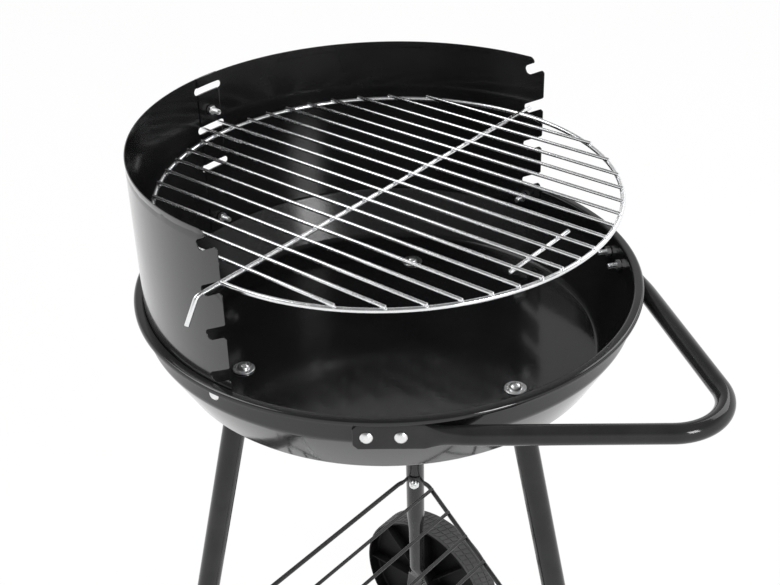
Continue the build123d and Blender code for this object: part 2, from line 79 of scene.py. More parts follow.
@dataclass(frozen=True)
class Finish:
    """One procedural surface, with a cloudy tone and gloss and a fine grain.

    Attributes:
        name: Name of the material.
        slot: Material slot that the finish belongs to; not used.
        dark: Colour of the darker clouds.
        light: Colour of the lighter clouds.
        roughness: Lowest and highest roughness.
        cloud_scale: Clouds per metre.
        grain_scale: Grains per metre.
        grain_height: Height of the grain in metres.
        metallic: 1 for bare metal and 0 for paint and plastic.
        ior: Index of refraction.
        specular: Level of the reflection, where 0.5 follows the index of refraction.
        coat: Weight of the clear gloss on top.
        coat_roughness: Roughness of that gloss.
    """

    name: str
    slot: Slot
    dark: tuple[float, float, float]
    light: tuple[float, float, float]
    roughness: tuple[float, float]
    cloud_scale: float
    grain_scale: float
    grain_height: float
    metallic: float = 0.0
    ior: float = 1.5
    specular: float = 0.5
    coat: float = 0.0
    coat_roughness: float = 0.03

    def material(self) -> bpy.types.Material:
        """Makes the material, or finds it when it is there already.

        Returns:
            The material.
        """
        found = bpy.data.materials.get(self.name)
        if found:
            return found
        made = bpy.data.materials.new(self.name)
        made.use_nodes = True
        nodes, links = made.node_tree.nodes, made.node_tree.links
        shader = nodes["Principled BSDF"]
        shader.inputs["Metallic"].default_value = self.metallic
        shader.inputs["IOR"].default_value = self.ior
        shader.inputs["Specular IOR Level"].default_value = self.specular
        shader.inputs["Coat Weight"].default_value = self.coat
        shader.inputs["Coat Roughness"].default_value = self.coat_roughness
        place = nodes.new("ShaderNodeTexCoord")
        cloud = nodes.new("ShaderNodeTexNoise")
        cloud.inputs["Scale"].default_value = self.cloud_scale
        cloud.inputs["Detail"].default_value = 5.0
        links.new(place.outputs["Object"], cloud.inputs["Vector"])
        tone = nodes.new("ShaderNodeValToRGB")
        tone.color_ramp.elements[0].position = 0.35
        tone.color_ramp.elements[0].color = (*self.dark, 1.0)
        tone.color_ramp.elements[1].position = 0.7
        tone.color_ramp.elements[1].color = (*self.light, 1.0)
        links.new(cloud.outputs["Fac"], tone.inputs["Fac"])
        links.new(tone.outputs["Color"], shader.inputs["Base Color"])
        gloss = nodes.new("ShaderNodeMapRange")
        gloss.inputs["From Min"].default_value = 0.3
        gloss.inputs["From Max"].default_value = 0.7
        gloss.inputs["To Min"].default_value = self.roughness[0]
        gloss.inputs["To Max"].default_value = self.roughness[1]
        links.new(cloud.outputs["Fac"], gloss.inputs["Value"])
        links.new(gloss.outputs["Result"], shader.inputs["Roughness"])
        grain = nodes.new("ShaderNodeTexNoise")
        grain.inputs["Scale"].default_value = self.grain_scale
        grain.inputs["Detail"].default_value = 3.0
        links.new(place.outputs["Object"], grain.inputs["Vector"])
        bump = nodes.new("ShaderNodeBump")
        bump.inputs["Strength"].default_value = 1.0
        bump.inputs["Distance"].default_value = self.grain_height
        links.new(grain.outputs["Fac"], bump.inputs["Height"])
        links.new(bump.outputs["Normal"], shader.inputs["Normal"])
        return made


ENAMEL = Finish(
    "gloss_enamel", Slot.ENAMEL, (0.007, 0.007, 0.0075), (0.012, 0.012, 0.0125), (0.16, 0.26),
    14.0, 160.0, 0.00003, coat=0.75,
)
BOWL_ENAMEL = Finish(
    "enamel_outside", Slot.ENAMEL, (0.007, 0.007, 0.0075), (0.012, 0.012, 0.0125), (0.07, 0.12),
    14.0, 160.0, 0.00003, coat=0.2,
)
# Painted shade: a darker, less reflective copy of the enamel for the faces that look into the bowl, standing in for
# the dim inside of bowl and windshield.
INSIDE_PAINTED_SHADE = Finish(
    "enamel_inside", Slot.ENAMEL, (0.006, 0.006, 0.0065), (0.010, 0.010, 0.0105), (0.15, 0.24),
    14.0, 160.0, 0.00003, specular=0.32,
)
# Darker and more reflective copy of the enamel for the bowl's floor; its darker tone is painted shade at the bottom
# of the bowl.
FLOOR_SHADE_AND_GLOSS = Finish(
    "enamel_floor", Slot.ENAMEL, (0.004, 0.004, 0.0045), (0.007, 0.007, 0.0075), (0.09, 0.13),
    14.0, 160.0, 0.00003, specular=0.95,
)
TUBE_PAINT = Finish(
    "half_gloss_paint", Slot.TUBE, (0.015, 0.015, 0.0155), (0.022, 0.022, 0.0225), (0.08, 0.13),
    40.0, 1100.0, 0.00001, specular=0.34,
)
WIRE_PAINT = Finish(
    "satin_paint", Slot.WIRE, (0.012, 0.012, 0.013), (0.020, 0.020, 0.021), (0.34, 0.46),
    60.0, 1300.0, 0.00003,
)
CHROME = Finish(
    "bright_chrome", Slot.CHROME, (0.86, 0.87, 0.88), (0.94, 0.94, 0.95), (0.20, 0.30),
    120.0, 700.0, 0.00001, metallic=1.0,
)
ZINC = Finish(
    "bright_zinc", Slot.ZINC, (0.80, 0.81, 0.82), (0.92, 0.92, 0.91), (0.24, 0.38),
    260.0, 1800.0, 0.00001, metallic=1.0,
)
WHEEL_PLASTIC = Finish(
    "wheel_moulding", Slot.WHEEL, (0.004, 0.004, 0.0045), (0.007, 0.007, 0.0075), (0.42, 0.58),
    35.0, 900.0, 0.00004, specular=0.15,
)
TREAD_PLASTIC = Finish(
    "tread_moulding", Slot.WHEEL, (0.038, 0.038, 0.039), (0.055, 0.055, 0.056), (0.50, 0.62),
    35.0, 900.0, 0.00005,
)
CAP_PLASTIC = Finish(
    "cap_moulding", Slot.CAP, (0.014, 0.014, 0.015), (0.022, 0.022, 0.023), (0.38, 0.50),
    50.0, 1000.0, 0.00003,
)


class Tree:
    """A Geometry Nodes tree with named inputs, which makes one plain mesh at a time."""

    def __init__(self, name: str) -> None:
        """Starts the tree.

        Args:
            name: Name of the node group.
        """
        self.group = bpy.data.node_groups.new(name, "GeometryNodeTree")
        self.identifiers: dict[str, str] = {}
        sockets = self.group.interface
        sockets.new_socket("Geometry", in_out="INPUT", socket_type="NodeSocketGeometry")
        sockets.new_socket("Geometry", in_out="OUTPUT", socket_type="NodeSocketGeometry")
        self.start = self.group.nodes.new("NodeGroupInput")
        self.end = self.group.nodes.new("NodeGroupOutput")

    def entry(self, name: str, kind: str = "Float") -> bpy.types.NodeSocket:
        """Adds a named input.

        Args:
            name: Name of the input.
            kind: Kind of the socket, such as Float, Int, Object or Material.

        Returns:
            The socket that carries the input's value inside the tree.
        """
        item = self.group.interface.new_socket(name, in_out="INPUT", socket_type="NodeSocket" + kind)
        self.identifiers[name] = item.identifier
        return self.start.outputs[name]

    def add(
        self, kind: str, sockets: dict[str | int, object] | None = None, **settings: object
    ) -> bpy.types.Node:
        """Adds a node.

        Args:
            kind: Type name of the node.
            sockets: For each input, a socket to link or a value to set.
            settings: Properties of the node.

        Returns:
            The node.
        """
        node = self.group.nodes.new(kind)
        for name, value in settings.items():
            setattr(node, name, value)
        for name, value in (sockets or {}).items():
            if isinstance(value, bpy.types.NodeSocket):
                self.group.links.new(value, node.inputs[name])
            else:
                node.inputs[name].default_value = value
        return node

    def math(self, operation: str, first: object, second: object = 0.0) -> bpy.types.NodeSocket:
        """Adds a Math node.

        Args:
            operation: Name of the operation.
            first: First operand, a socket or a number.
            second: Second operand, a socket or a number.

        Returns:
            The socket with the result.
        """
        node = self.add("ShaderNodeMath", {0: first, 1: second}, operation=operation)
        return node.outputs[0]

    def vector(self, x: object = 0.0, y: object = 0.0, z: object = 0.0) -> bpy.types.NodeSocket:
        """Adds a Combine XYZ node.

        Args:
            x: First part, a socket or a number.
            y: Second part, a socket or a number.
            z: Third part, a socket or a number.

        Returns:
            The socket with the vector.
        """
        return self.add("ShaderNodeCombineXYZ", {"X": x, "Y": y, "Z": z}).outputs[0]

    def round_wire(self, line: bpy.types.NodeSocket) -> bpy.types.NodeSocket:
        """Gives a line a round section, whose radius and sides are inputs of the tree.

        Args:
            line: Socket with the curves.

        Returns:
            The socket with the closed tubes.
        """
        circle = self.add(
            "GeometryNodeCurvePrimitiveCircle",
            {"Resolution": self.entry("Sides", "Int"), "Radius": self.entry("Wire Radius")},
        )
        tube = self.add(
            "GeometryNodeCurveToMesh",
            {"Curve": line, "Profile Curve": circle.outputs["Curve"], "Fill Caps": True},
        )
        return tube.outputs["Mesh"]

    def close(self, geometry: bpy.types.NodeSocket) -> "Tree":
        """Ends the tree with real geometry in one material.

        Args:
            geometry: Socket with the result.

        Returns:
            The tree itself.
        """
        real = self.add("GeometryNodeRealizeInstances", {"Geometry": geometry})
        dressed = self.add(
            "GeometryNodeSetMaterial",
            {"Geometry": real.outputs["Geometry"], "Material": self.entry("Finish", "Material")},
        )
        self.group.links.new(dressed.outputs["Geometry"], self.end.inputs["Geometry"])
        return self

    def make(self, name: str, finish: Finish, start: bpy.types.Mesh, **values: object) -> bpy.types.Object:
        """Runs the tree once.

        Args:
            name: Name of the piece.
            finish: Finish of the piece.
            start: Mesh that enters the tree.
            values: Values of the named inputs, with _ for each space.

        Returns:
            The piece, as a plain mesh.
        """
        piece = link(bpy.data.objects.new(name, start))
        modifier = piece.modifiers.new("nodes", "NODES")
        modifier.node_group = self.group
        modifier[self.identifiers["Finish"]] = finish.material()
        for key, value in values.items():
            modifier[self.identifiers[key.replace("_", " ")]] = value
        return settle(piece)


def link(piece: bpy.types.Object) -> bpy.types.Object:
    """Puts a new object into the scene and returns it."""
    bpy.context.scene.collection.objects.link(piece)
    return piece


def settle(piece: bpy.types.Object) -> bpy.types.Object:
    """Turns a piece with modifiers into a plain mesh.

    Args:
        piece: The piece, with its modifiers.

    Returns:
        The same piece, without them.
    """
    graph = bpy.context.evaluated_depsgraph_get()
    mesh = bpy.data.meshes.new_from_object(piece.evaluated_get(graph))
    piece.modifiers.clear()
    piece.data = mesh
    return piece


def ease(piece: bpy.types.Object, width: float, segments: int = 2) -> bpy.types.Object:
    """Rounds a piece's sharp edges.

    Args:
        piece: The piece.
        width: Width of the rounding in metres.
        segments: Facets of the rounding.

    Returns:
        The same piece, as a plain mesh.
    """
    bevel = piece.modifiers.new("eased", "BEVEL")
    bevel.width = width
    bevel.segments = segments
    bevel.limit_method = "ANGLE"
    bevel.angle_limit = SHARP_ANGLE
    bevel.use_clamp_overlap = True
    return settle(piece)


def dress(
    piece: bpy.types.Object, finish: Finish, body: Body, *nodes: str, sharp: float = SHARP_ANGLE
) -> bpy.types.Object:
    """Finishes a piece: its material, shading, body and the nodes that it stands for.

    Args:
        piece: The piece, in place.
        finish: Its finish.
        body: The body that it moves with.
        nodes: Nodes of the frame that it replaces.
        sharp: Angle from which an edge is shaded as a crease.

    Returns:
        The same piece.
    """
    piece.data.materials.clear()
    piece.data.materials.append(finish.material())
    piece.data.shade_smooth()
    piece.data.set_sharp_from_angle(angle=sharp)
    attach(piece, body.value)
    if nodes:
        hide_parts(*nodes)
    log.info("%s on %s, %d faces", piece.name, body.value, len(piece.data.polygons))
    return piece


def repaint(
    piece: bpy.types.Object, finish: Finish, chosen: Callable[[bpy.types.MeshPolygon], bool]
) -> None:
    """Gives some faces of a finished piece another finish of the same slot.

    Args:
        piece: The piece.
        finish: Finish of the chosen faces.
        chosen: Test of one face.
    """
    piece.data.materials.append(finish.material())
    for face in piece.data.polygons:
        if chosen(face):
            face.material_index = len(piece.data.materials) - 1


def axes(origin: Vector, along: Vector, facing: Vector) -> Matrix:
    """Makes the matrix of a seat.

    Args:
        origin: Where the seat is.
        along: Direction of its X axis.
        facing: Direction of its Z axis.

    Returns:
        The matrix from the seat's own frame to the grill's.
    """
    third = facing.cross(along)
    turn = Matrix((along, third, facing)).transposed().to_4x4()
    return Matrix.Translation(origin) @ turn


def rounded(
    points: list[Vector], radii: list[float], closed: bool = False, steps: int = 8
) -> list[Vector]:
    """Replaces the corners of a line by arcs.

    Args:
        points: Corners of the line.
        radii: Radius at each corner, where 0 keeps it sharp.
        closed: Whether the last corner joins the first.
        steps: Facets of each arc.

    Returns:
        Points of the rounded line.
    """
    made = []
    last = len(points) - 1
    for place, (corner, radius) in enumerate(zip(points, radii)):
        if radius == 0 or (not closed and place in (0, last)):
            made.append(corner.copy())
            continue
        before = (points[place - 1] - corner).normalized()
        after = (points[0 if place == last else place + 1] - corner).normalized()
        half = before.angle(after) / 2
        centre = corner + (before + after).normalized() * (radius / math.sin(half))
        arm = corner + before * (radius / math.tan(half)) - centre
        pivot = before.cross(after).normalized()
        turn = 2 * half - math.pi
        for step in range(steps + 1):
            made.append(centre + Matrix.Rotation(turn * step / steps, 3, pivot) @ arm)
    return made


def from_bmesh(name: str, shape: bmesh.types.BMesh) -> bpy.types.Object:
    """Turns a finished bmesh into a linked object.

    Args:
        name: Name of the object.
        shape: The bmesh, which is freed.

    Returns:
        The object.
    """
    mesh = bpy.data.meshes.new(name)
    shape.to_mesh(mesh)
    shape.free()
    return link(bpy.data.objects.new(name, mesh))


def loft(name: str, rings: list[list[Vector]]) -> bpy.types.Object:
    """Joins rings of points into one closed skin.

    Args:
        name: Name of the object.
        rings: Rings with equal counts of points, from one end to the other.

    Returns:
        The object.
    """
    shape = bmesh.new()
    rows = [[shape.verts.new(point) for point in ring] for ring in rings]
    count = len(rows[0])
    for one, other in zip(rows, rows[1:]):
        for place in range(count):
            after = (place + 1) % count
            shape.faces.new((one[place], one[after], other[after], other[place]))
    shape.faces.new(rows[0])
    shape.faces.new(rows[-1])
    bmesh.ops.recalc_face_normals(shape, faces=shape.faces)
    return from_bmesh(name, shape)


def lathe(name: str, outline: list[tuple[float, float]], steps: int) -> bpy.types.Object:
    """Turns a closed outline about the local Z axis.

    Args:
        name: Name of the object.
        outline: Distances from the axis and heights of the outline's points, in order.
        steps: Facets of a full turn.

    Returns:
        The object.
    """
    shape = bmesh.new()
    rows = []
    for step in range(steps):
        turn = 2 * math.pi * step / steps
        across = Vector((math.cos(turn), math.sin(turn), 0))
        rows.append([shape.verts.new(across * reach + UP * height) for reach, height in outline])
    count = len(outline)
    for place, row in enumerate(rows):
        other = rows[(place + 1) % steps]
        for point in range(count):
            after = (point + 1) % count
            if outline[point][0] or outline[after][0]:
                shape.faces.new((row[point], row[after], other[after], other[point]))
    bmesh.ops.remove_doubles(shape, verts=shape.verts, dist=SAME_POINT)
    bmesh.ops.recalc_face_normals(shape, faces=shape.faces)
    return from_bmesh(name, shape)


def section(
    centre: Vector, wide: Vector, thin: Vector, halves: tuple[float, float],
    squareness: float = 2.0, count: int = 40,
) -> list[Vector]:
    """Makes one ring of a tube, from round to nearly rectangular.

    Args:
        centre: Middle of the ring.
        wide: Direction of its wider side.
        thin: Direction of its thinner side.
        halves: Half its width and half its thickness.
        squareness: 2 for an ellipse, and more for squarer corners.
        count: Points in the ring.

    Returns:
        Points of the ring.
    """
    ring = []
    for step in range(count):
        turn = 2 * math.pi * step / count
        across, up = math.cos(turn), math.sin(turn)
        reach = math.copysign(abs(across) ** (2 / squareness), across) * halves[0]
        rise = math.copysign(abs(up) ** (2 / squareness), up) * halves[1]
        ring.append(centre + wide * reach + thin * rise)
    return ring


def cut_level(ring: list[Vector], line: Vector, height: float) -> list[Vector]:
    """Slides the points of a tube's ring along the tube to one height.

    Args:
        ring: Points of the ring.
        line: Direction of the tube.
        height: Height of the level cut.

    Returns:
        The moved points.
    """
    return [point + line * ((height - point.z) / line.z) for point in ring]


def smooth_step(share: float) -> float:
    """Eases a share between 0 and 1 at both ends."""
    return share * share * (3 - 2 * share)


def line_mesh(name: str, points: list[Vector], closed: bool = False) -> bpy.types.Mesh:
    """Makes a mesh of edges only, which a tree turns into a wire.

    Args:
        name: Name of the mesh.
        points: Points of the line.
        closed: Whether the last point joins the first.

    Returns:
        The mesh.
    """
    mesh = bpy.data.meshes.new(name)
    edges = [(place, place + 1) for place in range(len(points) - 1)]
    if closed:
        edges.append((len(points) - 1, 0))
    mesh.from_pydata(points, edges, [])
    return mesh


def seat_mesh(name: str, seats: list[Matrix]) -> bpy.types.Mesh:
    """Makes a mesh of loose points that carry the axes of their seats.

    Args:
        name: Name of the mesh.
        seats: Matrices of the seats.

    Returns:
        The mesh.
    """
    mesh = bpy.data.meshes.new(name)
    mesh.from_pydata([seat.translation for seat in seats], [], [])
    for title, column in (("along", 0), ("facing", 2)):
        values = mesh.attributes.new(title, "FLOAT_VECTOR", "POINT")
        for value, seat in zip(values.data, seats):
            value.vector = seat.col[column].to_3d()
    return mesh


def wire_tree() -> Tree:
    """Makes the tree that turns a line into one round wire."""
    tree = Tree("wire_along_line")
    curve = tree.add("GeometryNodeMeshToCurve", {"Mesh": tree.start.outputs["Geometry"]})
    return tree.close(tree.round_wire(curve.outputs["Curve"]))


def copies_tree() -> Tree:
    """Makes the tree that puts copies of a shape on seats."""
    tree = Tree("copies_on_seats")
    shape = tree.add("GeometryNodeObjectInfo", {"Object": tree.entry("Shape", "Object")})
    along, facing = (
        tree.add("GeometryNodeInputNamedAttribute", {"Name": title}, data_type="FLOAT_VECTOR")
        for title in ("along", "facing")
    )
    upright = tree.add(
        "FunctionNodeAlignRotationToVector", {"Vector": facing.outputs["Attribute"]}, axis="Z"
    )
    turned = tree.add(
        "FunctionNodeAlignRotationToVector",
        {"Rotation": upright.outputs["Rotation"], "Vector": along.outputs["Attribute"]},
        axis="X",
        pivot_axis="Z",
    )
    placed = tree.add(
        "GeometryNodeInstanceOnPoints",
        {
            "Points": tree.start.outputs["Geometry"],
            "Instance": shape.outputs["Geometry"],
            "Rotation": turned.outputs["Rotation"],
        },
    )
    return tree.close(placed.outputs["Instances"])


def grid_tree() -> Tree:
    """Makes the tree for the parallel wires of the round grate, each as long as the ring is wide there."""
    tree = Tree("wires_across_ring")
    count, pitch = tree.entry("Count", "Int"), tree.entry("Pitch")
    ring, overhang, back_reach = tree.entry("Ring Radius"), tree.entry("Overhang"), tree.entry("Back Reach")
    first = tree.math("MULTIPLY", tree.math("SUBTRACT", count, 1.0), -0.5)
    row = tree.add(
        "GeometryNodeMeshLine",
        {
            "Count": count,
            "Start Location": tree.vector(y=tree.math("MULTIPLY", first, pitch)),
            "Offset": tree.vector(y=pitch),
        },
    )
    across = tree.add("ShaderNodeSeparateXYZ", {0: tree.add("GeometryNodeInputPosition").outputs[0]}).outputs["Y"]
    squared = tree.math("SUBTRACT", tree.math("MULTIPLY", ring, ring), tree.math("MULTIPLY", across, across))
    half = tree.math("ADD", tree.math("SQRT", squared), overhang)
    middle = tree.math("LESS_THAN", tree.math("ABSOLUTE", across), pitch)
    longer = tree.math("MULTIPLY", middle, tree.math("SUBTRACT", back_reach, half))
    back = tree.math("ADD", half, longer)
    moved = tree.add(
        "GeometryNodeSetPosition",
        {"Geometry": row.outputs["Mesh"], "Offset": tree.vector(x=tree.math("MULTIPLY", back, -1.0))},
    )
    span = tree.add("GeometryNodeCaptureAttribute", {"Geometry": row.outputs["Mesh"]})
    span.capture_items.new("FLOAT", "Length")
    tree.group.links.new(tree.math("ADD", half, back), span.inputs["Length"])
    tree.group.links.new(span.outputs["Geometry"], moved.inputs["Geometry"])
    unit = tree.add("GeometryNodeCurvePrimitiveLine", {"End": (1.0, 0.0, 0.0)})
    placed = tree.add(
        "GeometryNodeInstanceOnPoints",
        {
            "Points": moved.outputs["Geometry"],
            "Instance": unit.outputs["Curve"],
            "Scale": tree.vector(span.outputs["Length"], 1.0, 1.0),
        },
    )
    real = tree.add("GeometryNodeRealizeInstances", {"Geometry": placed.outputs["Instances"]})
    return tree.close(tree.round_wire(real.outputs["Geometry"]))


def shelf_tree() -> Tree:
    """Makes the tree for the cross wires of the shelf, which shorten evenly towards its tip."""
    tree = Tree("wires_across_shelf")
    count, pitch = tree.entry("Count", "Int"), tree.entry("Pitch")
    first_half, taper = tree.entry("First Half"), tree.entry("Taper")
    row = tree.add("GeometryNodeMeshLine", {"Count": count, "Offset": tree.vector(x=pitch)})
    order = tree.add("GeometryNodeInputIndex").outputs[0]
    half = tree.math("SUBTRACT", first_half, tree.math("MULTIPLY", order, taper))
    unit = tree.add("GeometryNodeCurvePrimitiveLine", {"Start": (0.0, -1.0, 0.0), "End": (0.0, 1.0, 0.0)})
    placed = tree.add(
        "GeometryNodeInstanceOnPoints",
        {
            "Points": row.outputs["Mesh"],
            "Instance": unit.outputs["Curve"],
            "Scale": tree.vector(1.0, half, 1.0),
        },
    )
    real = tree.add("GeometryNodeRealizeInstances", {"Geometry": placed.outputs["Instances"]})
    return tree.close(tree.round_wire(real.outputs["Geometry"]))


def spoke_tree() -> Tree:
    """Makes the tree that stands copies of a shape evenly round the local Z axis."""
    tree = Tree("copies_round_axis")
    count, reach, start = tree.entry("Count", "Int"), tree.entry("Reach"), tree.entry("Start Turn")
    shape = tree.add("GeometryNodeObjectInfo", {"Object": tree.entry("Shape", "Object")})
    row = tree.add("GeometryNodeMeshLine", {"Count": count, "Offset": (0.0, 0.0, 0.0)})
    order = tree.add("GeometryNodeInputIndex").outputs[0]
    share = tree.math("DIVIDE", order, count)
    turn = tree.math("ADD", tree.math("MULTIPLY", share, 2 * math.pi), start)
    spot = tree.vector(
        tree.math("MULTIPLY", tree.math("COSINE", turn), reach),
        tree.math("MULTIPLY", tree.math("SINE", turn), reach),
    )
    ringed = tree.add("GeometryNodeSetPosition", {"Geometry": row.outputs["Mesh"], "Position": spot})
    placed = tree.add(
        "GeometryNodeInstanceOnPoints",
        {
            "Points": ringed.outputs["Geometry"],
            "Instance": shape.outputs["Geometry"],
            "Rotation": tree.vector(z=turn),
        },
    )
    return tree.close(placed.outputs["Instances"])


class Trees:
    """The Geometry Nodes trees that the sub-assemblies share."""

    def __init__(self) -> None:
        """Makes each tree once."""
        self.wire = wire_tree()
        self.copies = copies_tree()
        self.grid = grid_tree()
        self.shelf = shelf_tree()
        self.spokes = spoke_tree()


def join(name: str, pieces: list[bpy.types.Object]) -> bpy.types.Object:
    """Joins plain meshes into one piece.

    Args:
        name: Name of the joined piece.
        pieces: The objects, which are removed.

    Returns:
        The joined piece.
    """
    shape = bmesh.new()
    for piece in pieces:
        shape.from_mesh(piece.data)
        bpy.data.objects.remove(piece)
    return from_bmesh(name, shape)


def template(piece: bpy.types.Object) -> bpy.types.Object:
    """Takes a shape out of the scene, so that only its copies show."""
    bpy.context.scene.collection.objects.unlink(piece)
    return piece


@dataclass(frozen=True)
class Site:
    """Places that the sub-assemblies share, read from the frame.

    Attributes:
        axis_x: Place of the bowl's axis.
        rim: Height of the rim's top.
        rim_radius: Outer radius of the rim.
        floor_under: Height of the underside of the bowl's floor.
        axle_x: Place of the axle.
        axle_z: Height of the axle.
        trees: Geometry Nodes trees.
    """

    axis_x: float
    rim: float
    rim_radius: float
    floor_under: float
    axle_x: float
    axle_z: float
    trees: Trees

    @classmethod
    def read(cls) -> "Site":
        """Reads the places from the boxes of the bowl and a wheel.

        Returns:
            The site.
        """
        low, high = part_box("bowl")
        wheel_low, wheel_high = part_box("wheel_right")
        axle = (wheel_low + wheel_high) / 2
        return cls(
            (low.x + high.x) / 2, high.z, (high.y - low.y) / 2, low.z, axle.x, axle.z, Trees()
        )

    def middle(self, height: float = 0.0) -> Vector:
        """Gives the point on the bowl's axis at a height above the rim."""
        return Vector((self.axis_x, 0.0, self.rim + height))

    # Mask of the faces that get the painted shade of the darker enamel copy inside the bowl.
    def faces_axis(self, face: bpy.types.MeshPolygon) -> bool:
        """Tells whether a face looks at the bowl's axis or up from inside the bowl."""
        inward = Vector((self.axis_x - face.center.x, -face.center.y, 0.0)).normalized()
        looks_in = face.normal.dot(inward) > 0.3
        return looks_in or (face.normal.z > 0.3 and face.center.z < self.rim - 0.003)

    def seat(
        self, angle: float, radius: float, height: float, shift: float = 0.0, inward: bool = False
    ) -> Matrix:
        """Makes a seat that faces away from the bowl's axis, or towards it.

        Args:
            angle: Angle about the axis in degrees, from the handle.
            radius: Distance from the axis.
            height: Height above the rim.
            shift: Distance sideways, towards larger angles.
            inward: Whether the seat faces the axis.

        Returns:
            The matrix of the seat.
        """
        turn = math.radians(angle)
        facing = Vector((math.cos(turn), math.sin(turn), 0.0))
        along = Vector((-facing.y, facing.x, 0.0))
        spot = self.middle(height) + facing * radius + along * shift
        if inward:
            return axes(spot, -along, -facing)
        return axes(spot, along, facing)


@dataclass(frozen=True)
class Bowl:
    """The pressed fire bowl with its folded rim.

    Attributes:
        site: Shared places.
        rim_width: Width of the flat rim.
        lip_depth: Depth of the rim's turned-down lip.
        wall_depth: Depth of the upright wall inside.
        depth: Depth of the floor.
        floor_radius: Radius of the flat floor.
        sheet: Thickness of the sheet.
        fold: Radius of the folds at the rim.
        side_bend: Radius of the bends above and below the leaning side.
        steps: Facets of a full turn.
    """

    site: Site
    rim_width: float = 0.009
    lip_depth: float = 0.004
    wall_depth: float = 0.024
    depth: float = 0.067
    floor_radius: float = 0.1865
    sheet: float = 0.0012
    fold: float = 0.0025
    side_bend: float = 0.008
    steps: int = 256

    @property
    def wall_radius(self) -> float:
        """Inner radius of the upright wall."""
        return self.site.rim_radius - self.rim_width

    @property
    def outside(self) -> float:
        """Outer radius of the upright wall."""
        return self.wall_radius + self.sheet

    def outline(self) -> list[tuple[float, float]]:
        """Makes the closed section of the bowl.

        Returns:
            Distances from the axis and heights, below and above the rim's top.
        """
        wall, rim, sheet = self.wall_radius, self.site.rim_radius, self.sheet
        lean = math.atan2(wall - self.floor_radius, self.depth - self.wall_depth)
        wall_low = self.wall_depth + sheet * math.tan(lean / 2)
        floor_outside = self.floor_radius + sheet * math.tan((math.pi / 2 - lean) / 2)
        bend, lip, inside_fold = self.side_bend, sheet * 0.45, self.fold - sheet
        corners = (
            (0.0, -self.depth, 0.0),
            (self.floor_radius, -self.depth, bend),
            (wall, -self.wall_depth, bend),
            (wall, 0.0, self.fold),
            (rim, 0.0, self.fold),
            (rim, -self.lip_depth, lip),
            (rim - sheet, -self.lip_depth, lip),
            (rim - sheet, -sheet, inside_fold),
            (self.outside, -sheet, inside_fold),
            (self.outside, -wall_low, bend + sheet),
            (floor_outside, -self.depth - sheet, bend + sheet),
            (0.0, -self.depth - sheet, 0.0),
        )
        points = [Vector((reach, height, 0.0)) for reach, height, _ in corners]
        made = rounded(points, [radius for _, _, radius in corners])
        return [(point.x, point.y) for point in made]

    # Mask of the floor faces that get the copy whose darker tone is painted shade.
    def is_floor(self, face: bpy.types.MeshPolygon) -> bool:
        """Tells whether a face belongs to the floor inside the bowl."""
        return face.normal.z > 0.95 and face.center.z < self.site.rim - self.depth / 2

    def build(self) -> None:
        """Makes and dresses the bowl."""
        bowl = lathe("fire_bowl", self.outline(), self.steps)
        bowl.data.transform(Matrix.Translation(self.site.middle()))
        dress(bowl, BOWL_ENAMEL, Body.FRAME, "bowl")
        # The faces inside the bowl get the painted shade of the darker enamel copy.
        repaint(bowl, INSIDE_PAINTED_SHADE, self.site.faces_axis)
        # The floor gets the copy whose darker tone is painted shade.
        repaint(bowl, FLOOR_SHADE_AND_GLOSS, self.is_floor)


@dataclass(frozen=True)
class Rows:
    """The rows of notches and slots that carry the grate.

    Attributes:
        count: Number of rows.
        pitch: Distance between rows.
        top: Height of a rod in the top row, above the rim.
        used: Row that the grate hangs in, from the top.
        rod: Diameter of the rod.
        rod_forward: Place of the rod, in front of the bowl's axis.
        rod_play: Clearance of the rod in its notch.
        notch_width: Width of a notch.
        notch_slope: Slope of a notch in degrees.
        notch_corner: Radius of the corners of its mouth.
        notch_end: Radius of the corners of its closed end.
        slot_length: Length of a slot.
        slot_height: Height of a slot.
        slot_rise: Height of a slot's middle above the rod.
        blind_reach: Reach of the lowest slot, which the outer sheet closes.
    """

    count: int = 4
    pitch: float = 0.0383
    top: float = 0.1188
    used: int = 1
    rod: float = 0.006
    rod_forward: float = 0.0015
    rod_play: float = 0.0003
    notch_width: float = 0.009
    notch_slope: float = 28.0
    notch_corner: float = 0.0026
    notch_end: float = 0.0040
    slot_length: float = 0.032
    slot_height: float = 0.0070
    slot_rise: float = 0.0020
    blind_reach: float = 0.0120

    def heights(self) -> list[float]:
        """Gives the rod's height in each row, from the top."""
        return [self.top - row * self.pitch for row in range(self.count)]

    def notch(self, height: float, mouth_low: float, mouth_high: float) -> list[Vector]:
        """Makes the corners of one notch, from its lower lip to its upper lip.

        Args:
            height: Height of a rod in the notch.
            mouth_low: Forward place of the sheet's edge below the notch.
            mouth_high: Forward place of the sheet's edge above the notch.

        Returns:
            Four corners, as forward place and height.
        """
        slope = math.radians(self.notch_slope)
        along = Vector((math.cos(slope), math.sin(slope), 0.0))
        rise = Vector((-along.y, along.x, 0.0))
        room = self.rod / 2 + self.rod_play
        low = Vector((self.rod_forward, height, 0.0)) - along * room - rise * room
        high = low + rise * self.notch_width
        low_lip = low + along * ((mouth_low - low.x) / along.x)
        high_lip = high + along * ((mouth_high - high.x) / along.x)
        return [low_lip, low, high, high_lip]


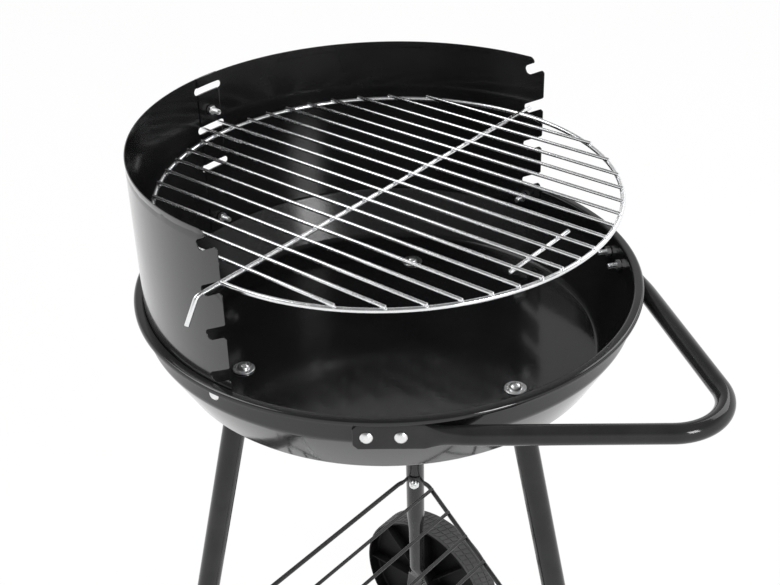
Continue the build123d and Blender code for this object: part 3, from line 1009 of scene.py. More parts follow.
@dataclass(frozen=True)
class Windshield:
    """One curved sheet of the windshield.

    Attributes:
        site: Shared places.
        rows: Rows of notches and slots.
        radius: Radius of the sheet's outer face.
        side: 1 for the sheet on +Y and -1 for the one on -Y.
        height: Height above the rim.
        foot: Depth below the rim.
        sheet: Thickness.
        overlap: Width of the overlap at the back.
        end: Forward place of the free end.
        tooth_setback: Distance that the top tooth stands back from the free end.
        top_corner: Radius of the upper corner of the free end.
        edge: Radius of the eased edges.
        columns: Facets of the curve.
    """

    site: Site
    rows: Rows
    radius: float
    side: int
    height: float = 0.133
    foot: float = 0.022
    sheet: float = 0.0008
    overlap: float = 0.025
    end: float = 0.0185
    tooth_setback: float = 0.0116
    top_corner: float = 0.005
    edge: float = 0.0002
    columns: int = 72

    def outline(self) -> list[Vector]:
        """Makes the outline of the flat sheet, as distance from the back and height.

        Returns:
            Points of the outline, counterclockwise.
        """
        rows, corner = self.rows, self.rows.notch_corner
        quarter = Vector((self.radius * math.pi / 2, 0.0, 0.0))
        back = -self.overlap / 2
        tooth = self.end - self.tooth_setback
        points = [Vector((back, -self.foot, 0.0)), quarter + Vector((self.end, -self.foot, 0.0))]
        radii = [0.0, 0.0]
        for height in reversed(rows.heights()):
            mouth = tooth if height == rows.top else self.end
            points += [quarter + spot for spot in rows.notch(height, self.end, mouth)]
            radii += [corner, rows.notch_end, rows.notch_end, corner]
        points += [quarter + Vector((tooth, self.height, 0.0)), Vector((back, self.height, 0.0))]
        radii += [self.top_corner, 0.0]
        half = rows.slot_height / 2
        for height in rows.heights():
            blind = height == rows.heights()[-1]
            if blind and self.side < 0:
                continue
            inner, middle = rows.blind_reach if blind else rows.slot_length / 2, height + rows.slot_rise
            for rise, reach in ((half, back), (half, inner), (-half, inner), (-half, back)):
                points.append(Vector((reach, middle + rise, 0.0)))
                radii.append(half * 0.98 if reach == inner else 0.0)
        return rounded(points, radii, closed=True)

    def build(self, name: str, node: str) -> None:
        """Makes and dresses the sheet.

        Args:
            name: Name of the piece.
            node: Node of the frame that it replaces.
        """
        shape = bmesh.new()
        flat = self.outline()
        shape.faces.new([shape.verts.new(point) for point in flat])
        shape.normal_update()
        bmesh.ops.triangulate(shape, faces=shape.faces)
        start, stop = min(point.x for point in flat), max(point.x for point in flat)
        for column in range(1, self.columns):
            spot = Vector((start + (stop - start) * column / self.columns, 0.0, 0.0))
            everything = [*shape.verts, *shape.edges, *shape.faces]
            bmesh.ops.bisect_plane(shape, geom=everything, plane_co=spot, plane_no=(1, 0, 0), dist=SAME_POINT)
        centre = self.site.middle()
        for vert in shape.verts:
            turn, height = vert.co.x / self.radius, vert.co.y
            outward = Vector((-math.cos(turn), self.side * math.sin(turn), 0.0))
            vert.co = centre + outward * self.radius + UP * height
        shape.normal_update()
        first = next(iter(shape.faces))
        if first.normal.dot(first.calc_center_median() - centre) < 0:
            bmesh.ops.reverse_faces(shape, faces=shape.faces)
        piece = from_bmesh(name, shape)
        wall = piece.modifiers.new("wall", "SOLIDIFY")
        wall.thickness = self.sheet
        wall.offset = -1.0
        ease(settle(piece), self.edge, 1)
        dress(piece, ENAMEL, Body.FRAME, node)
        # The sheet's inner face gets the painted shade of the darker enamel copy.
        repaint(piece, INSIDE_PAINTED_SHADE, self.site.faces_axis)


@dataclass(frozen=True)
class Grate:
    """The lift-off cooking grate: ring, wires, support rod with its grip, and short bar.

    Attributes:
        site: Shared places.
        rows: Rows that it hangs in.
        rod_wire: Diameter of the rod's wire.
        rod_rise: Height of the wire in the rod's notch, so that it touches the parallel wires.
        rod_reach: Straight length of the rod from its middle to the grip.
        rod_end: Length of the rod from its middle to its plain end.
        rod_bend: Radius of the bend at the grip.
        grip: Length of the grip.
        grip_angle: Angle of the grip below the rod in degrees.
        ring_radius: Radius of the ring.
        ring_wire: Diameter of the ring's wire.
        wire: Diameter of the parallel wires.
        count: Number of parallel wires.
        pitch: Distance between them.
        overhang: Length of their ends past the ring.
        back_reach: Reach of the two middle wires to the back.
        sink: Depth that welded wires sink into each other.
        bar_forward: Place of the short bar, in front of the bowl's axis.
        bar_length: Length of the short bar.
        bar_offset: Sideways place of its middle.
        bar_wire: Diameter of the short bar.
        weld: Radius of a weld's bead.
        sides: Facets of the wires' sections.
    """

    site: Site
    rows: Rows
    rod_wire: float = 0.004
    rod_rise: float = 0.0006
    rod_reach: float = 0.220
    rod_end: float = 0.2135
    rod_bend: float = 0.006
    grip: float = 0.0232
    grip_angle: float = 57.0
    ring_radius: float = 0.1954
    ring_wire: float = 0.0042
    wire: float = 0.0030
    count: int = 18
    pitch: float = 0.0203
    overhang: float = 0.0004
    back_reach: float = 0.2127
    sink: float = 0.0006
    bar_forward: float = 0.164
    bar_length: float = 0.081
    bar_offset: float = -0.0145
    bar_wire: float = 0.0034
    weld: float = 0.0017
    sides: int = 20

    @property
    def wire_rise(self) -> float:
        """Height of the parallel wires above the rod."""
        return self.rod_rise + (self.rod_wire + self.wire) / 2 - self.sink

    def below_wires(self, wire: float) -> float:
        """Gives the height above the rod of a wire that is welded under the parallel wires."""
        return self.wire_rise - (wire + self.wire) / 2 + self.sink

    def origin(self) -> Vector:
        """Gives the middle of the rod."""
        height = self.rows.heights()[self.rows.used]
        return self.site.middle(height) + Vector((self.rows.rod_forward, 0.0, 0.0))

    def rod_line(self) -> list[Vector]:
        """Makes the line of the rod, whose grip bends down on the -Y side."""
        drop = math.radians(self.grip_angle)
        end = Vector((0.0, -self.rod_reach, self.rod_rise))
        tip = end + Vector((0.0, -math.cos(drop), -math.sin(drop))) * self.grip
        far = Vector((0.0, self.rod_end, self.rod_rise))
        return rounded([far, end, tip], [0.0, self.rod_bend, 0.0])

    def ring_line(self, steps: int = 160) -> list[Vector]:
        """Makes the line of the ring.

        Args:
            steps: Facets of the ring.

        Returns:
            Points of the ring.
        """
        height = self.below_wires(self.ring_wire)
        turns = (2 * math.pi * step / steps for step in range(steps))
        return [
            Vector((math.cos(turn) * self.ring_radius, math.sin(turn) * self.ring_radius, height))
            for turn in turns
        ]

    def bar_line(self) -> list[Vector]:
        """Makes the line of the short bar under the wires."""
        height = self.below_wires(self.bar_wire)
        forward = self.bar_forward - self.rows.rod_forward
        return [
            Vector((forward, self.bar_offset + end * self.bar_length / 2, height)) for end in (1, -1)
        ]

    def weld_seats(self) -> list[Matrix]:
        """Finds the crossings that are welded.

        Returns:
            Seats of the beads, where a wire meets the ring, the rod or the short bar.
        """
        touch = self.wire_rise - self.wire / 2
        spots = []
        for row in range(self.count):
            across = (row - (self.count - 1) / 2) * self.pitch
            chord = math.sqrt(self.ring_radius**2 - across**2)
            forward = [0.0, chord, -chord]
            if abs(across - self.bar_offset) < self.bar_length / 2:
                forward.append(self.bar_forward - self.rows.rod_forward)
            spots += [Vector((reach, across, touch)) for reach in forward]
        return [axes(spot, Vector((1.0, 0.0, 0.0)), UP) for spot in spots]

    def bead(self) -> bpy.types.Object:
        """Makes the shape of one weld bead, longer across the wire than along it."""
        shape = bmesh.new()
        bmesh.ops.create_icosphere(shape, subdivisions=2, radius=self.weld)
        bmesh.ops.scale(shape, vec=(1.1, 0.95, 0.62), verts=shape.verts)
        return template(from_bmesh("weld_bead", shape))

    def build(self) -> None:
        """Makes and dresses the grate."""
        trees = self.site.trees
        lines = (
            ("rod", self.rod_line(), False, self.rod_wire),
            ("ring", self.ring_line(), True, self.ring_wire),
            ("bar", self.bar_line(), False, self.bar_wire),
        )
        wires = [
            ease(
                trees.wire.make(
                    name, CHROME, line_mesh(name, line, closed), Sides=self.sides, Wire_Radius=diameter / 2
                ),
                0.0005,
            )
            for name, line, closed, diameter in lines
        ]
        grid = trees.grid.make(
            "grid", CHROME, bpy.data.meshes.new("grid"), Count=self.count, Pitch=self.pitch,
            Ring_Radius=self.ring_radius, Overhang=self.overhang, Back_Reach=self.back_reach,
            Sides=self.sides, Wire_Radius=self.wire / 2,
        )
        grid.data.transform(Matrix.Translation(UP * self.wire_rise))
        bead = self.bead()
        beads = trees.copies.make("beads", CHROME, seat_mesh("beads", self.weld_seats()), Shape=bead)
        bpy.data.objects.remove(bead)
        home = Matrix.Translation(self.origin())
        support = join("grate_rod_and_ring", wires)
        for piece in (support, grid, beads):
            piece.data.transform(home)
        grid.name, beads.name = "grate_wires", "grate_welds"
        dress(support, CHROME, Body.GRATE, "cooking_grate")
        dress(ease(grid, 0.0003), CHROME, Body.GRATE)
        dress(beads, CHROME, Body.GRATE)


@dataclass(frozen=True)
class Handle:
    """The bent tube handle with flattened ends.

    Attributes:
        site: Shared places.
        bowl: The bowl that it is bolted to.
        tube: Diameter of the tube.
        angle: Angle of its seats on the bowl in degrees, from the front.
        drop: Depth of its line below the rim.
        bend: Radius of the bend.
        tab_height: Height of the flattened end.
        tab_sheet: Thickness of the flattened end.
        tab_back: Length of the flat end behind the middle of its bolts.
        tab_front: Length of the flat end in front of it.
        taper: Length of the change from flat to round.
        shoulder: Length in which the flat end narrows to the height of the tube.
        crease: Angle in degrees from which the pressed end shows a crease.
        chamfer: Size of the cut corners.
        bolt_pitch: Distance between its two bolts.
    """

    site: Site
    bowl: Bowl
    tube: float = 0.016
    angle: float = 51.8
    drop: float = 0.0168
    bend: float = 0.047
    tab_height: float = 0.022
    tab_sheet: float = 0.004
    tab_back: float = 0.0233
    tab_front: float = 0.0305
    taper: float = 0.040
    shoulder: float = 0.015
    crease: float = 13.0
    chamfer: float = 0.004
    bolt_pitch: float = 0.0257

    def arm(self) -> list[list[Vector]]:
        """Makes the rings of the arm on +Y, from its end to the middle of the bend.

        Returns:
            Rings of points.
        """
        turn = math.radians(self.angle)
        line = self.bowl.outside + SEAT_GAP + self.tab_sheet / 2
        along = Vector((math.sin(turn), -math.cos(turn), 0.0))
        across = UP.cross(along)
        centre = self.site.middle(-self.drop)
        touch = centre + Vector((math.cos(turn), math.sin(turn), 0.0)) * line
        flat, thin, round_half = self.tab_height / 2, self.tab_sheet / 2, self.tube / 2
        start = touch - along * self.tab_back
        ease_in = self.tab_sheet * 0.12
        stations = [
            (0.0, flat - self.chamfer, thin - ease_in),
            (ease_in, flat - self.chamfer + ease_in, thin),
            (self.chamfer, flat, thin),
        ]
        length = self.tab_back + self.tab_front
        rings = [
            section(start + along * place, UP, across, (high, wide), 12.0)
            for place, high, wide in stations
        ]
        facets = 14
        for step in range(facets + 1):
            share = step / facets
            eased = 1 - (1 - share) ** 2
            narrowed = 1 - max(0.0, 1 - share * self.taper / self.shoulder) ** 2
            halves = (flat + (round_half - flat) * narrowed, thin + (round_half - thin) * eased)
            squareness = 2 + 10 * (1 - eased) ** 4
            rings.append(section(start + along * (length + self.taper * share), UP, across, halves, squareness))
        apex = centre + Vector((line / math.cos(turn), 0.0, 0.0))
        pivot = apex - Vector((self.bend / math.cos(turn), 0.0, 0.0))
        for step in range(facets + 1):
            angle = turn * (1 - step / facets)
            facing = Vector((math.cos(angle), math.sin(angle), 0.0))
            rings.append(section(pivot + facing * self.bend, UP, facing, (round_half, round_half)))
        return rings

    def build(self) -> None:
        """Makes and dresses the handle."""
        rings = self.arm()
        mirror = Matrix.Diagonal((1.0, -1.0, 1.0))
        rings += [[mirror @ point for point in ring] for ring in reversed(rings[:-1])]
        tube = loft("handle_tube", rings)
        dress(tube, TUBE_PAINT, Body.FRAME, "handle", sharp=math.radians(self.crease))


@dataclass(frozen=True)
class Legs:
    """Three tube legs: one in front with a foot cap, and two at the axle with flattened ends.

    Attributes:
        site: Shared places.
        tube: Diameter of the tubes.
        circle: Distance of their tops from the bowl's axis.
        angle: Angle between the legs in degrees.
        foot_reach: Distance of the front foot from the bowl's axis.
        spread: Distance between the flattened ends.
        neck: Diameter of the drawn-in lower end of the legs at the axle.
        neck_start: Length along the leg above the axle where it starts to narrow.
        neck_end: Length along the leg above the axle where it stops narrowing.
        crimp_start: Height along the leg where it starts to flatten, above the axle.
        crimp_end: Length of the flat end above the axle.
        crimp_width: Width of the flat end.
        crimp_sheet: Thickness of the flat end.
        cap_wall: Wall of the foot cap.
        cap_floor: Thickness of the cap's floor.
        cap_length: Length of the foot cap.
    """

    site: Site
    tube: float = 0.021
    circle: float = 0.136
    angle: float = 120.0
    foot_reach: float = 0.294
    spread: float = 0.425
    neck: float = 0.0174
    neck_start: float = 0.168
    neck_end: float = 0.120
    crimp_start: float = 0.058
    crimp_end: float = 0.024
    crimp_width: float = 0.030
    crimp_sheet: float = 0.004
    cap_wall: float = 0.002
    cap_floor: float = 0.005
    cap_length: float = 0.034

    def top(self, leg: int) -> Vector:
        """Gives the middle of a leg's top: leg 0 is in front, 1 on +Y and 2 on -Y."""
        turn = math.radians((0.0, self.angle, -self.angle)[leg])
        across = Vector((math.cos(turn), math.sin(turn), 0.0)) * self.circle
        return Vector((self.site.axis_x + across.x, across.y, self.site.floor_under))

    def foot(self, leg: int) -> Vector:
        """Gives the lower end of a leg's line."""
        if leg == 0:
            return Vector((self.site.axis_x + self.foot_reach, 0.0, 0.0))
        return Vector((self.site.axle_x, (0, 1, -1)[leg] * self.spread / 2, self.site.axle_z))

    def line(self, leg: int) -> Vector:
        """Gives the direction of a leg, downward."""
        return (self.foot(leg) - self.top(leg)).normalized()

    def point(self, leg: int, height: float) -> Vector:
        """Gives the point of a leg's line at a height above the floor."""
        top, line = self.top(leg), self.line(leg)
        return top + line * ((height - top.z) / line.z)

    def ring(self, leg: int, centre: Vector, radius: float) -> list[Vector]:
        """Makes a round ring square to a leg.

        Args:
            leg: Number of the leg.
            centre: Middle of the ring.
            radius: Radius of the ring.

        Returns:
            Points of the ring.
        """
        line = self.line(leg)
        wide = Vector((1.0, 0.0, 0.0))
        wide = (wide - line * wide.dot(line)).normalized()
        return section(centre, wide, line.cross(wide), (radius, radius))

    def front(self) -> bpy.types.Object:
        """Makes the front leg, cut level under the bowl and in its cap."""
        line, radius = self.line(0), self.tube / 2
        top = cut_level(self.ring(0, self.top(0), radius), line, self.site.floor_under)
        low = cut_level(self.ring(0, self.foot(0), radius), line, self.cap_floor)
        return loft("front_leg", [top, low])

    def rear(self, leg: int, name: str) -> bpy.types.Object:
        """Makes a leg whose lower end is pressed flat round the axle.

        Args:
            leg: Number of the leg.
            name: Name of the piece.

        Returns:
            The leg.
        """
        line, foot, radius = self.line(leg), self.foot(leg), self.tube / 2
        flat_line = Vector((line.x, 0.0, line.z)).normalized()
        start = foot - line * self.crimp_start
        stop = foot - flat_line * self.crimp_end
        half, thin = self.crimp_width / 2, self.crimp_sheet / 2
        rings = [cut_level(self.ring(leg, self.top(leg), radius), line, self.site.floor_under)]
        facets, narrow = 12, self.neck / 2
        for step in range(facets + 1):
            share = step / facets
            along = self.neck_start + (self.neck_end - self.neck_start) * share
            drawn = radius + (narrow - radius) * smooth_step(share)
            rings.append(self.ring(leg, foot - line * along, drawn))
        radius = narrow
        for step in range(facets + 1):
            share = step / facets
            eased = smooth_step(share)
            way = line.lerp(flat_line, eased).normalized()
            wide = Vector((1.0, 0.0, 0.0))
            wide = (wide - way * wide.dot(way)).normalized()
            halves = (radius + (half - radius) * eased, radius + (thin - radius) * eased)
            squareness = 2 + 8 * eased**4
            rings.append(section(start.lerp(stop, share), wide, way.cross(wide), halves, squareness))
        wide = Vector((-flat_line.z, 0.0, flat_line.x))
        if wide.x < 0:
            wide = -wide
        across = flat_line.cross(wide)
        for step in range(facets):
            angle = math.pi / 2 * step / facets
            spot = foot + flat_line * (math.sin(angle) * half)
            rings.append(section(spot, wide, across, (math.cos(angle) * half, thin), 10.0))
        return loft(name, rings)

    def cap(self) -> bpy.types.Object:
        """Makes the foot cap, which is cut flat on the floor."""
        line, foot = self.line(0), self.foot(0)
        inner, outer = self.tube / 2 + SEAT_GAP, self.tube / 2 + self.cap_wall
        lip = self.cap_wall / 2
        top = foot - line * self.cap_length
        rings = [self.ring(0, top + line * lip, inner), self.ring(0, top, inner + lip * 0.4)]
        rings += [self.ring(0, top, outer - lip), self.ring(0, top + line * lip * 0.4, outer - lip * 0.3)]
        rings += [self.ring(0, top + line * lip, outer)]
        for height, radius in ((lip * 1.5, outer), (lip * 0.4, outer - lip * 0.4), (0.0, outer - lip * 1.4)):
            rings.append(cut_level(self.ring(0, foot, radius), line, height))
        return loft("front_foot", rings)

    def build(self) -> None:
        """Makes and dresses the legs and the foot cap."""
        dress(self.front(), TUBE_PAINT, Body.FRAME, "leg_front")
        dress(self.rear(1, "rear_leg_right"), TUBE_PAINT, Body.FRAME, "leg_rear_right")
        dress(self.rear(2, "rear_leg_left"), TUBE_PAINT, Body.FRAME, "leg_rear_left")
        dress(self.cap(), CAP_PLASTIC, Body.FRAME, "foot_cap")


@dataclass(frozen=True)
class Shelf:
    """The wire shelf between the legs.

    Attributes:
        site: Shared places.
        legs: The legs that carry it.
        height: Height of its frame above the floor.
        wire: Diameter of the frame's wire.
        cross_wire: Diameter of the cross wires.
        pitch: Distance between cross wires.
        corner: Radius of the frame's corners.
        sink: Depth that welded wires sink into each other.
        eye_half: Half the width of the eye that is pressed into the frame at each leg.
        eye_height: Height of the eye.
        eye_sheet: Thickness of the eye.
        eye_bend: Length of the bend between eye and round wire.
        bolt_drop: Depth of the bolts below the frame.
    """

    site: Site
    legs: Legs
    height: float = 0.327
    wire: float = 0.005
    cross_wire: float = 0.004
    pitch: float = 0.0385
    corner: float = 0.022
    sink: float = 0.0006
    eye_half: float = 0.0065
    eye_height: float = 0.008
    eye_sheet: float = 0.002
    eye_bend: float = 0.006
    bolt_drop: float = 0.0045

    def eye_seat(self, leg: int) -> Matrix:
        """Makes the seat of an eye on a leg's inner side, at the height of its bolt.

        Args:
            leg: Number of the leg.

        Returns:
            The matrix of the seat, which faces the middle of the grill.
        """
        spot, line = self.legs.point(leg, self.height - self.bolt_drop), self.legs.line(leg)
        inward = Vector((self.site.axis_x - spot.x, -spot.y, 0.0)).normalized()
        facing = (inward - line * inward.dot(line)).normalized()
        along = Vector((-inward.y, inward.x, 0.0))
        return axes(spot + facing * (self.legs.tube / 2 + SEAT_GAP), along, facing)

    def corner_centre(self, leg: int) -> Vector:
        """Gives the centre of the frame's corner at a leg, from the bowl's axis.

        Args:
            leg: Number of the leg.

        Returns:
            The centre, at height 0.
        """
        spot = self.legs.point(leg, self.height)
        inward = Vector((self.site.axis_x - spot.x, -spot.y, 0.0)).normalized()
        lean = inward.dot(self.eye_seat(leg).col[2].to_3d())
        reach = self.legs.tube / 2 + SEAT_GAP + self.eye_sheet + self.wire / 2 - self.sink
        centre = spot + inward * (reach / lean + self.corner)
        return Vector((centre.x - self.site.axis_x, centre.y, 0.0))

    def frame_line(self, steps: int = 40) -> list[Vector]:
        """Makes the line of the frame.

        Args:
            steps: Facets of each corner.

        Returns:
            Points of the closed line, from the bowl's axis.
        """
        centres = [self.corner_centre(leg) for leg in range(3)]
        points = []
        for place, centre in enumerate(centres):
            into = (centre - centres[place - 1]).normalized()
            out = (centres[(place + 1) % 3] - centre).normalized()
            first = Vector((into.y, -into.x, 0.0))
            turn = into.angle(out)
            for step in range(steps + 1):
                points.append(centre + Matrix.Rotation(turn * step / steps, 3, "Z") @ first * self.corner)
        return points

    def cross_wires(self) -> bpy.types.Object:
        """Makes the cross wires, which lie on the frame."""
        front, rear = self.corner_centre(0), self.corner_centre(1)
        side = (rear - front).normalized()
        edge = front + Vector((side.y, -side.x, 0.0)) * self.corner
        slope = side.y / side.x
        rear_edge = rear.x - self.corner
        room = front.x + self.corner - self.pitch / 2 - rear_edge
        first = rear_edge + self.pitch
        half = edge.y + (first - edge.x) * slope
        wires = self.site.trees.shelf.make(
            "shelf_cross_wires", WIRE_PAINT, bpy.data.meshes.new("shelf_cross_wires"),
            Count=int(room / self.pitch), Pitch=self.pitch, First_Half=half, Taper=-slope * self.pitch,
            Sides=16, Wire_Radius=self.cross_wire / 2,
        )
        rise = (self.wire + self.cross_wire) / 2 - self.sink
        wires.data.transform(Matrix.Translation((self.site.axis_x + first, 0.0, self.height + rise)))
        return ease(wires, 0.0004)

    def press_eyes(self, ring: bpy.types.Object) -> None:
        """Presses the frame flat against the legs where it is bolted to them.

        Args:
            ring: The frame, in place.
        """
        start = self.eye_sheet + self.wire / 2 - self.sink
        leg_half = self.legs.tube / 2
        room = self.eye_half + self.eye_bend
        for leg in range(3):
            seat = self.eye_seat(leg)
            local = seat.inverted()
            for vert in ring.data.vertices:
                spot = local @ vert.co
                if abs(spot.x) >= room or abs(spot.z) > self.corner:
                    continue
                share = smooth_step(min(1.0, (room - abs(spot.x)) / self.eye_bend))
                line = start + self.corner - math.sqrt(self.corner**2 - spot.x**2)
                hug = leg_half - math.sqrt(leg_half**2 - min(abs(spot.x), self.eye_half) ** 2)
                depth = self.eye_sheet / 2 - hug + (spot.z - line) * self.eye_sheet / self.wire
                height = (spot.y - self.bolt_drop) * self.eye_height / self.wire
                pressed = Vector((spot.x, height, depth))
                vert.co = seat @ spot.lerp(pressed, share)

    def build(self) -> None:
        """Makes and dresses the shelf."""
        trees = self.site.trees
        ring = trees.wire.make(
            "shelf_frame", WIRE_PAINT, line_mesh("shelf_frame", self.frame_line(), True),
            Sides=18, Wire_Radius=self.wire / 2,
        )
        ring.data.transform(Matrix.Translation((self.site.axis_x, 0.0, self.height)))
        self.press_eyes(ring)
        dress(ring, WIRE_PAINT, Body.FRAME, "shelf")
        dress(self.cross_wires(), WIRE_PAINT, Body.FRAME)


@dataclass(frozen=True)
class Screw:
    """One size of bolt with its nut.

    Attributes:
        diameter: Diameter of the thread.
        head: Diameter of the head.
        head_height: Height of the head.
        nut: Width of the nut across its flats.
        nut_height: Height of the nut.
        tail: Length of thread past the nut.
        pitch: Pitch of the thread.
        steps: Facets of a full turn.
    """

    diameter: float = 0.005
    head: float = 0.010
    head_height: float = 0.003
    nut: float = 0.008
    nut_height: float = 0.004
    tail: float = 0.008
    pitch: float = 0.0008
    steps: int = 36

    @property
    def stack(self) -> float:
        """Length of nut and tail."""
        return self.nut_height + self.tail

    @property
    def corner(self) -> float:
        """Distance from the middle of the nut to its corner."""
        return self.nut / math.sqrt(3)

    def outline(self, length: float, thread: float) -> list[tuple[float, float]]:
        """Makes the section of the bolt, from the end of its shank to the top of its head.

        Args:
            length: Length of the shank.
            thread: Length of thread that shows.

        Returns:
            Distances from the axis and heights above the seat.
        """
        radius, depth = self.diameter / 2, self.pitch * 0.55
        cup = radius * 0.7
        points = [(0.0, -length + cup * 0.6), (cup, -length), (radius - depth, -length)]
        turns = int(thread / self.pitch)
        for turn in range(turns):
            low = -length + self.pitch * (turn + 0.3)
            points += [(radius, low + self.pitch * 0.35), (radius, low + self.pitch * 0.5)]
            points.append((radius - depth, low + self.pitch))
        points += [(radius, -length + self.pitch * (turns + 1)), (radius, 0.0), (self.head / 2, 0.0)]
        facets = 8
        sphere = (self.head**2 / 4 + self.head_height**2) / (2 * self.head_height)
        lip = self.head_height * 0.22
        reach = math.asin(self.head / 2 / sphere)
        for step in range(facets + 1):
            angle = reach * (1 - step / facets)
            height = self.head_height - sphere * (1 - math.cos(angle))
            points.append((sphere * math.sin(angle), lip + height * (1 - lip / self.head_height)))
        return points

    def bolt(self, length: float) -> bpy.types.Object:
        """Makes the shape of a bolt with a plain domed head.

        Args:
            length: Length of the shank.

        Returns:
            The shape, out of the scene.
        """
        return template(lathe("bolt", self.outline(length, self.stack), self.steps))

    def nut_shape(self) -> bpy.types.Object:
        """Makes the shape of a hexagon nut with chamfered corners.

        Returns:
            The shape, out of the scene.
        """
        count = 48
        flat, bore = self.nut / 2, self.diameter / 2
        chamfer = math.tan(math.radians(30))
        rings: list[list[Vector]] = [[] for _ in range(6)]
        for step in range(count):
            turn = 2 * math.pi * step / count
            away = (turn % (math.pi / 3)) - math.pi / 6
            reach = flat / math.cos(away)
            drop = (reach - flat * 0.97) * chamfer
            across = Vector((math.cos(turn), math.sin(turn), 0.0))
            places = (
                (bore * 1.12, 0.0), (flat * 0.97, 0.0), (reach, drop),
                (reach, self.nut_height - drop), (flat * 0.97, self.nut_height), (bore * 1.12, self.nut_height),
            )
            for ring, (distance, height) in zip(rings, places):
                ring.append(across * distance + UP * height)
        return template(loft("nut", rings))


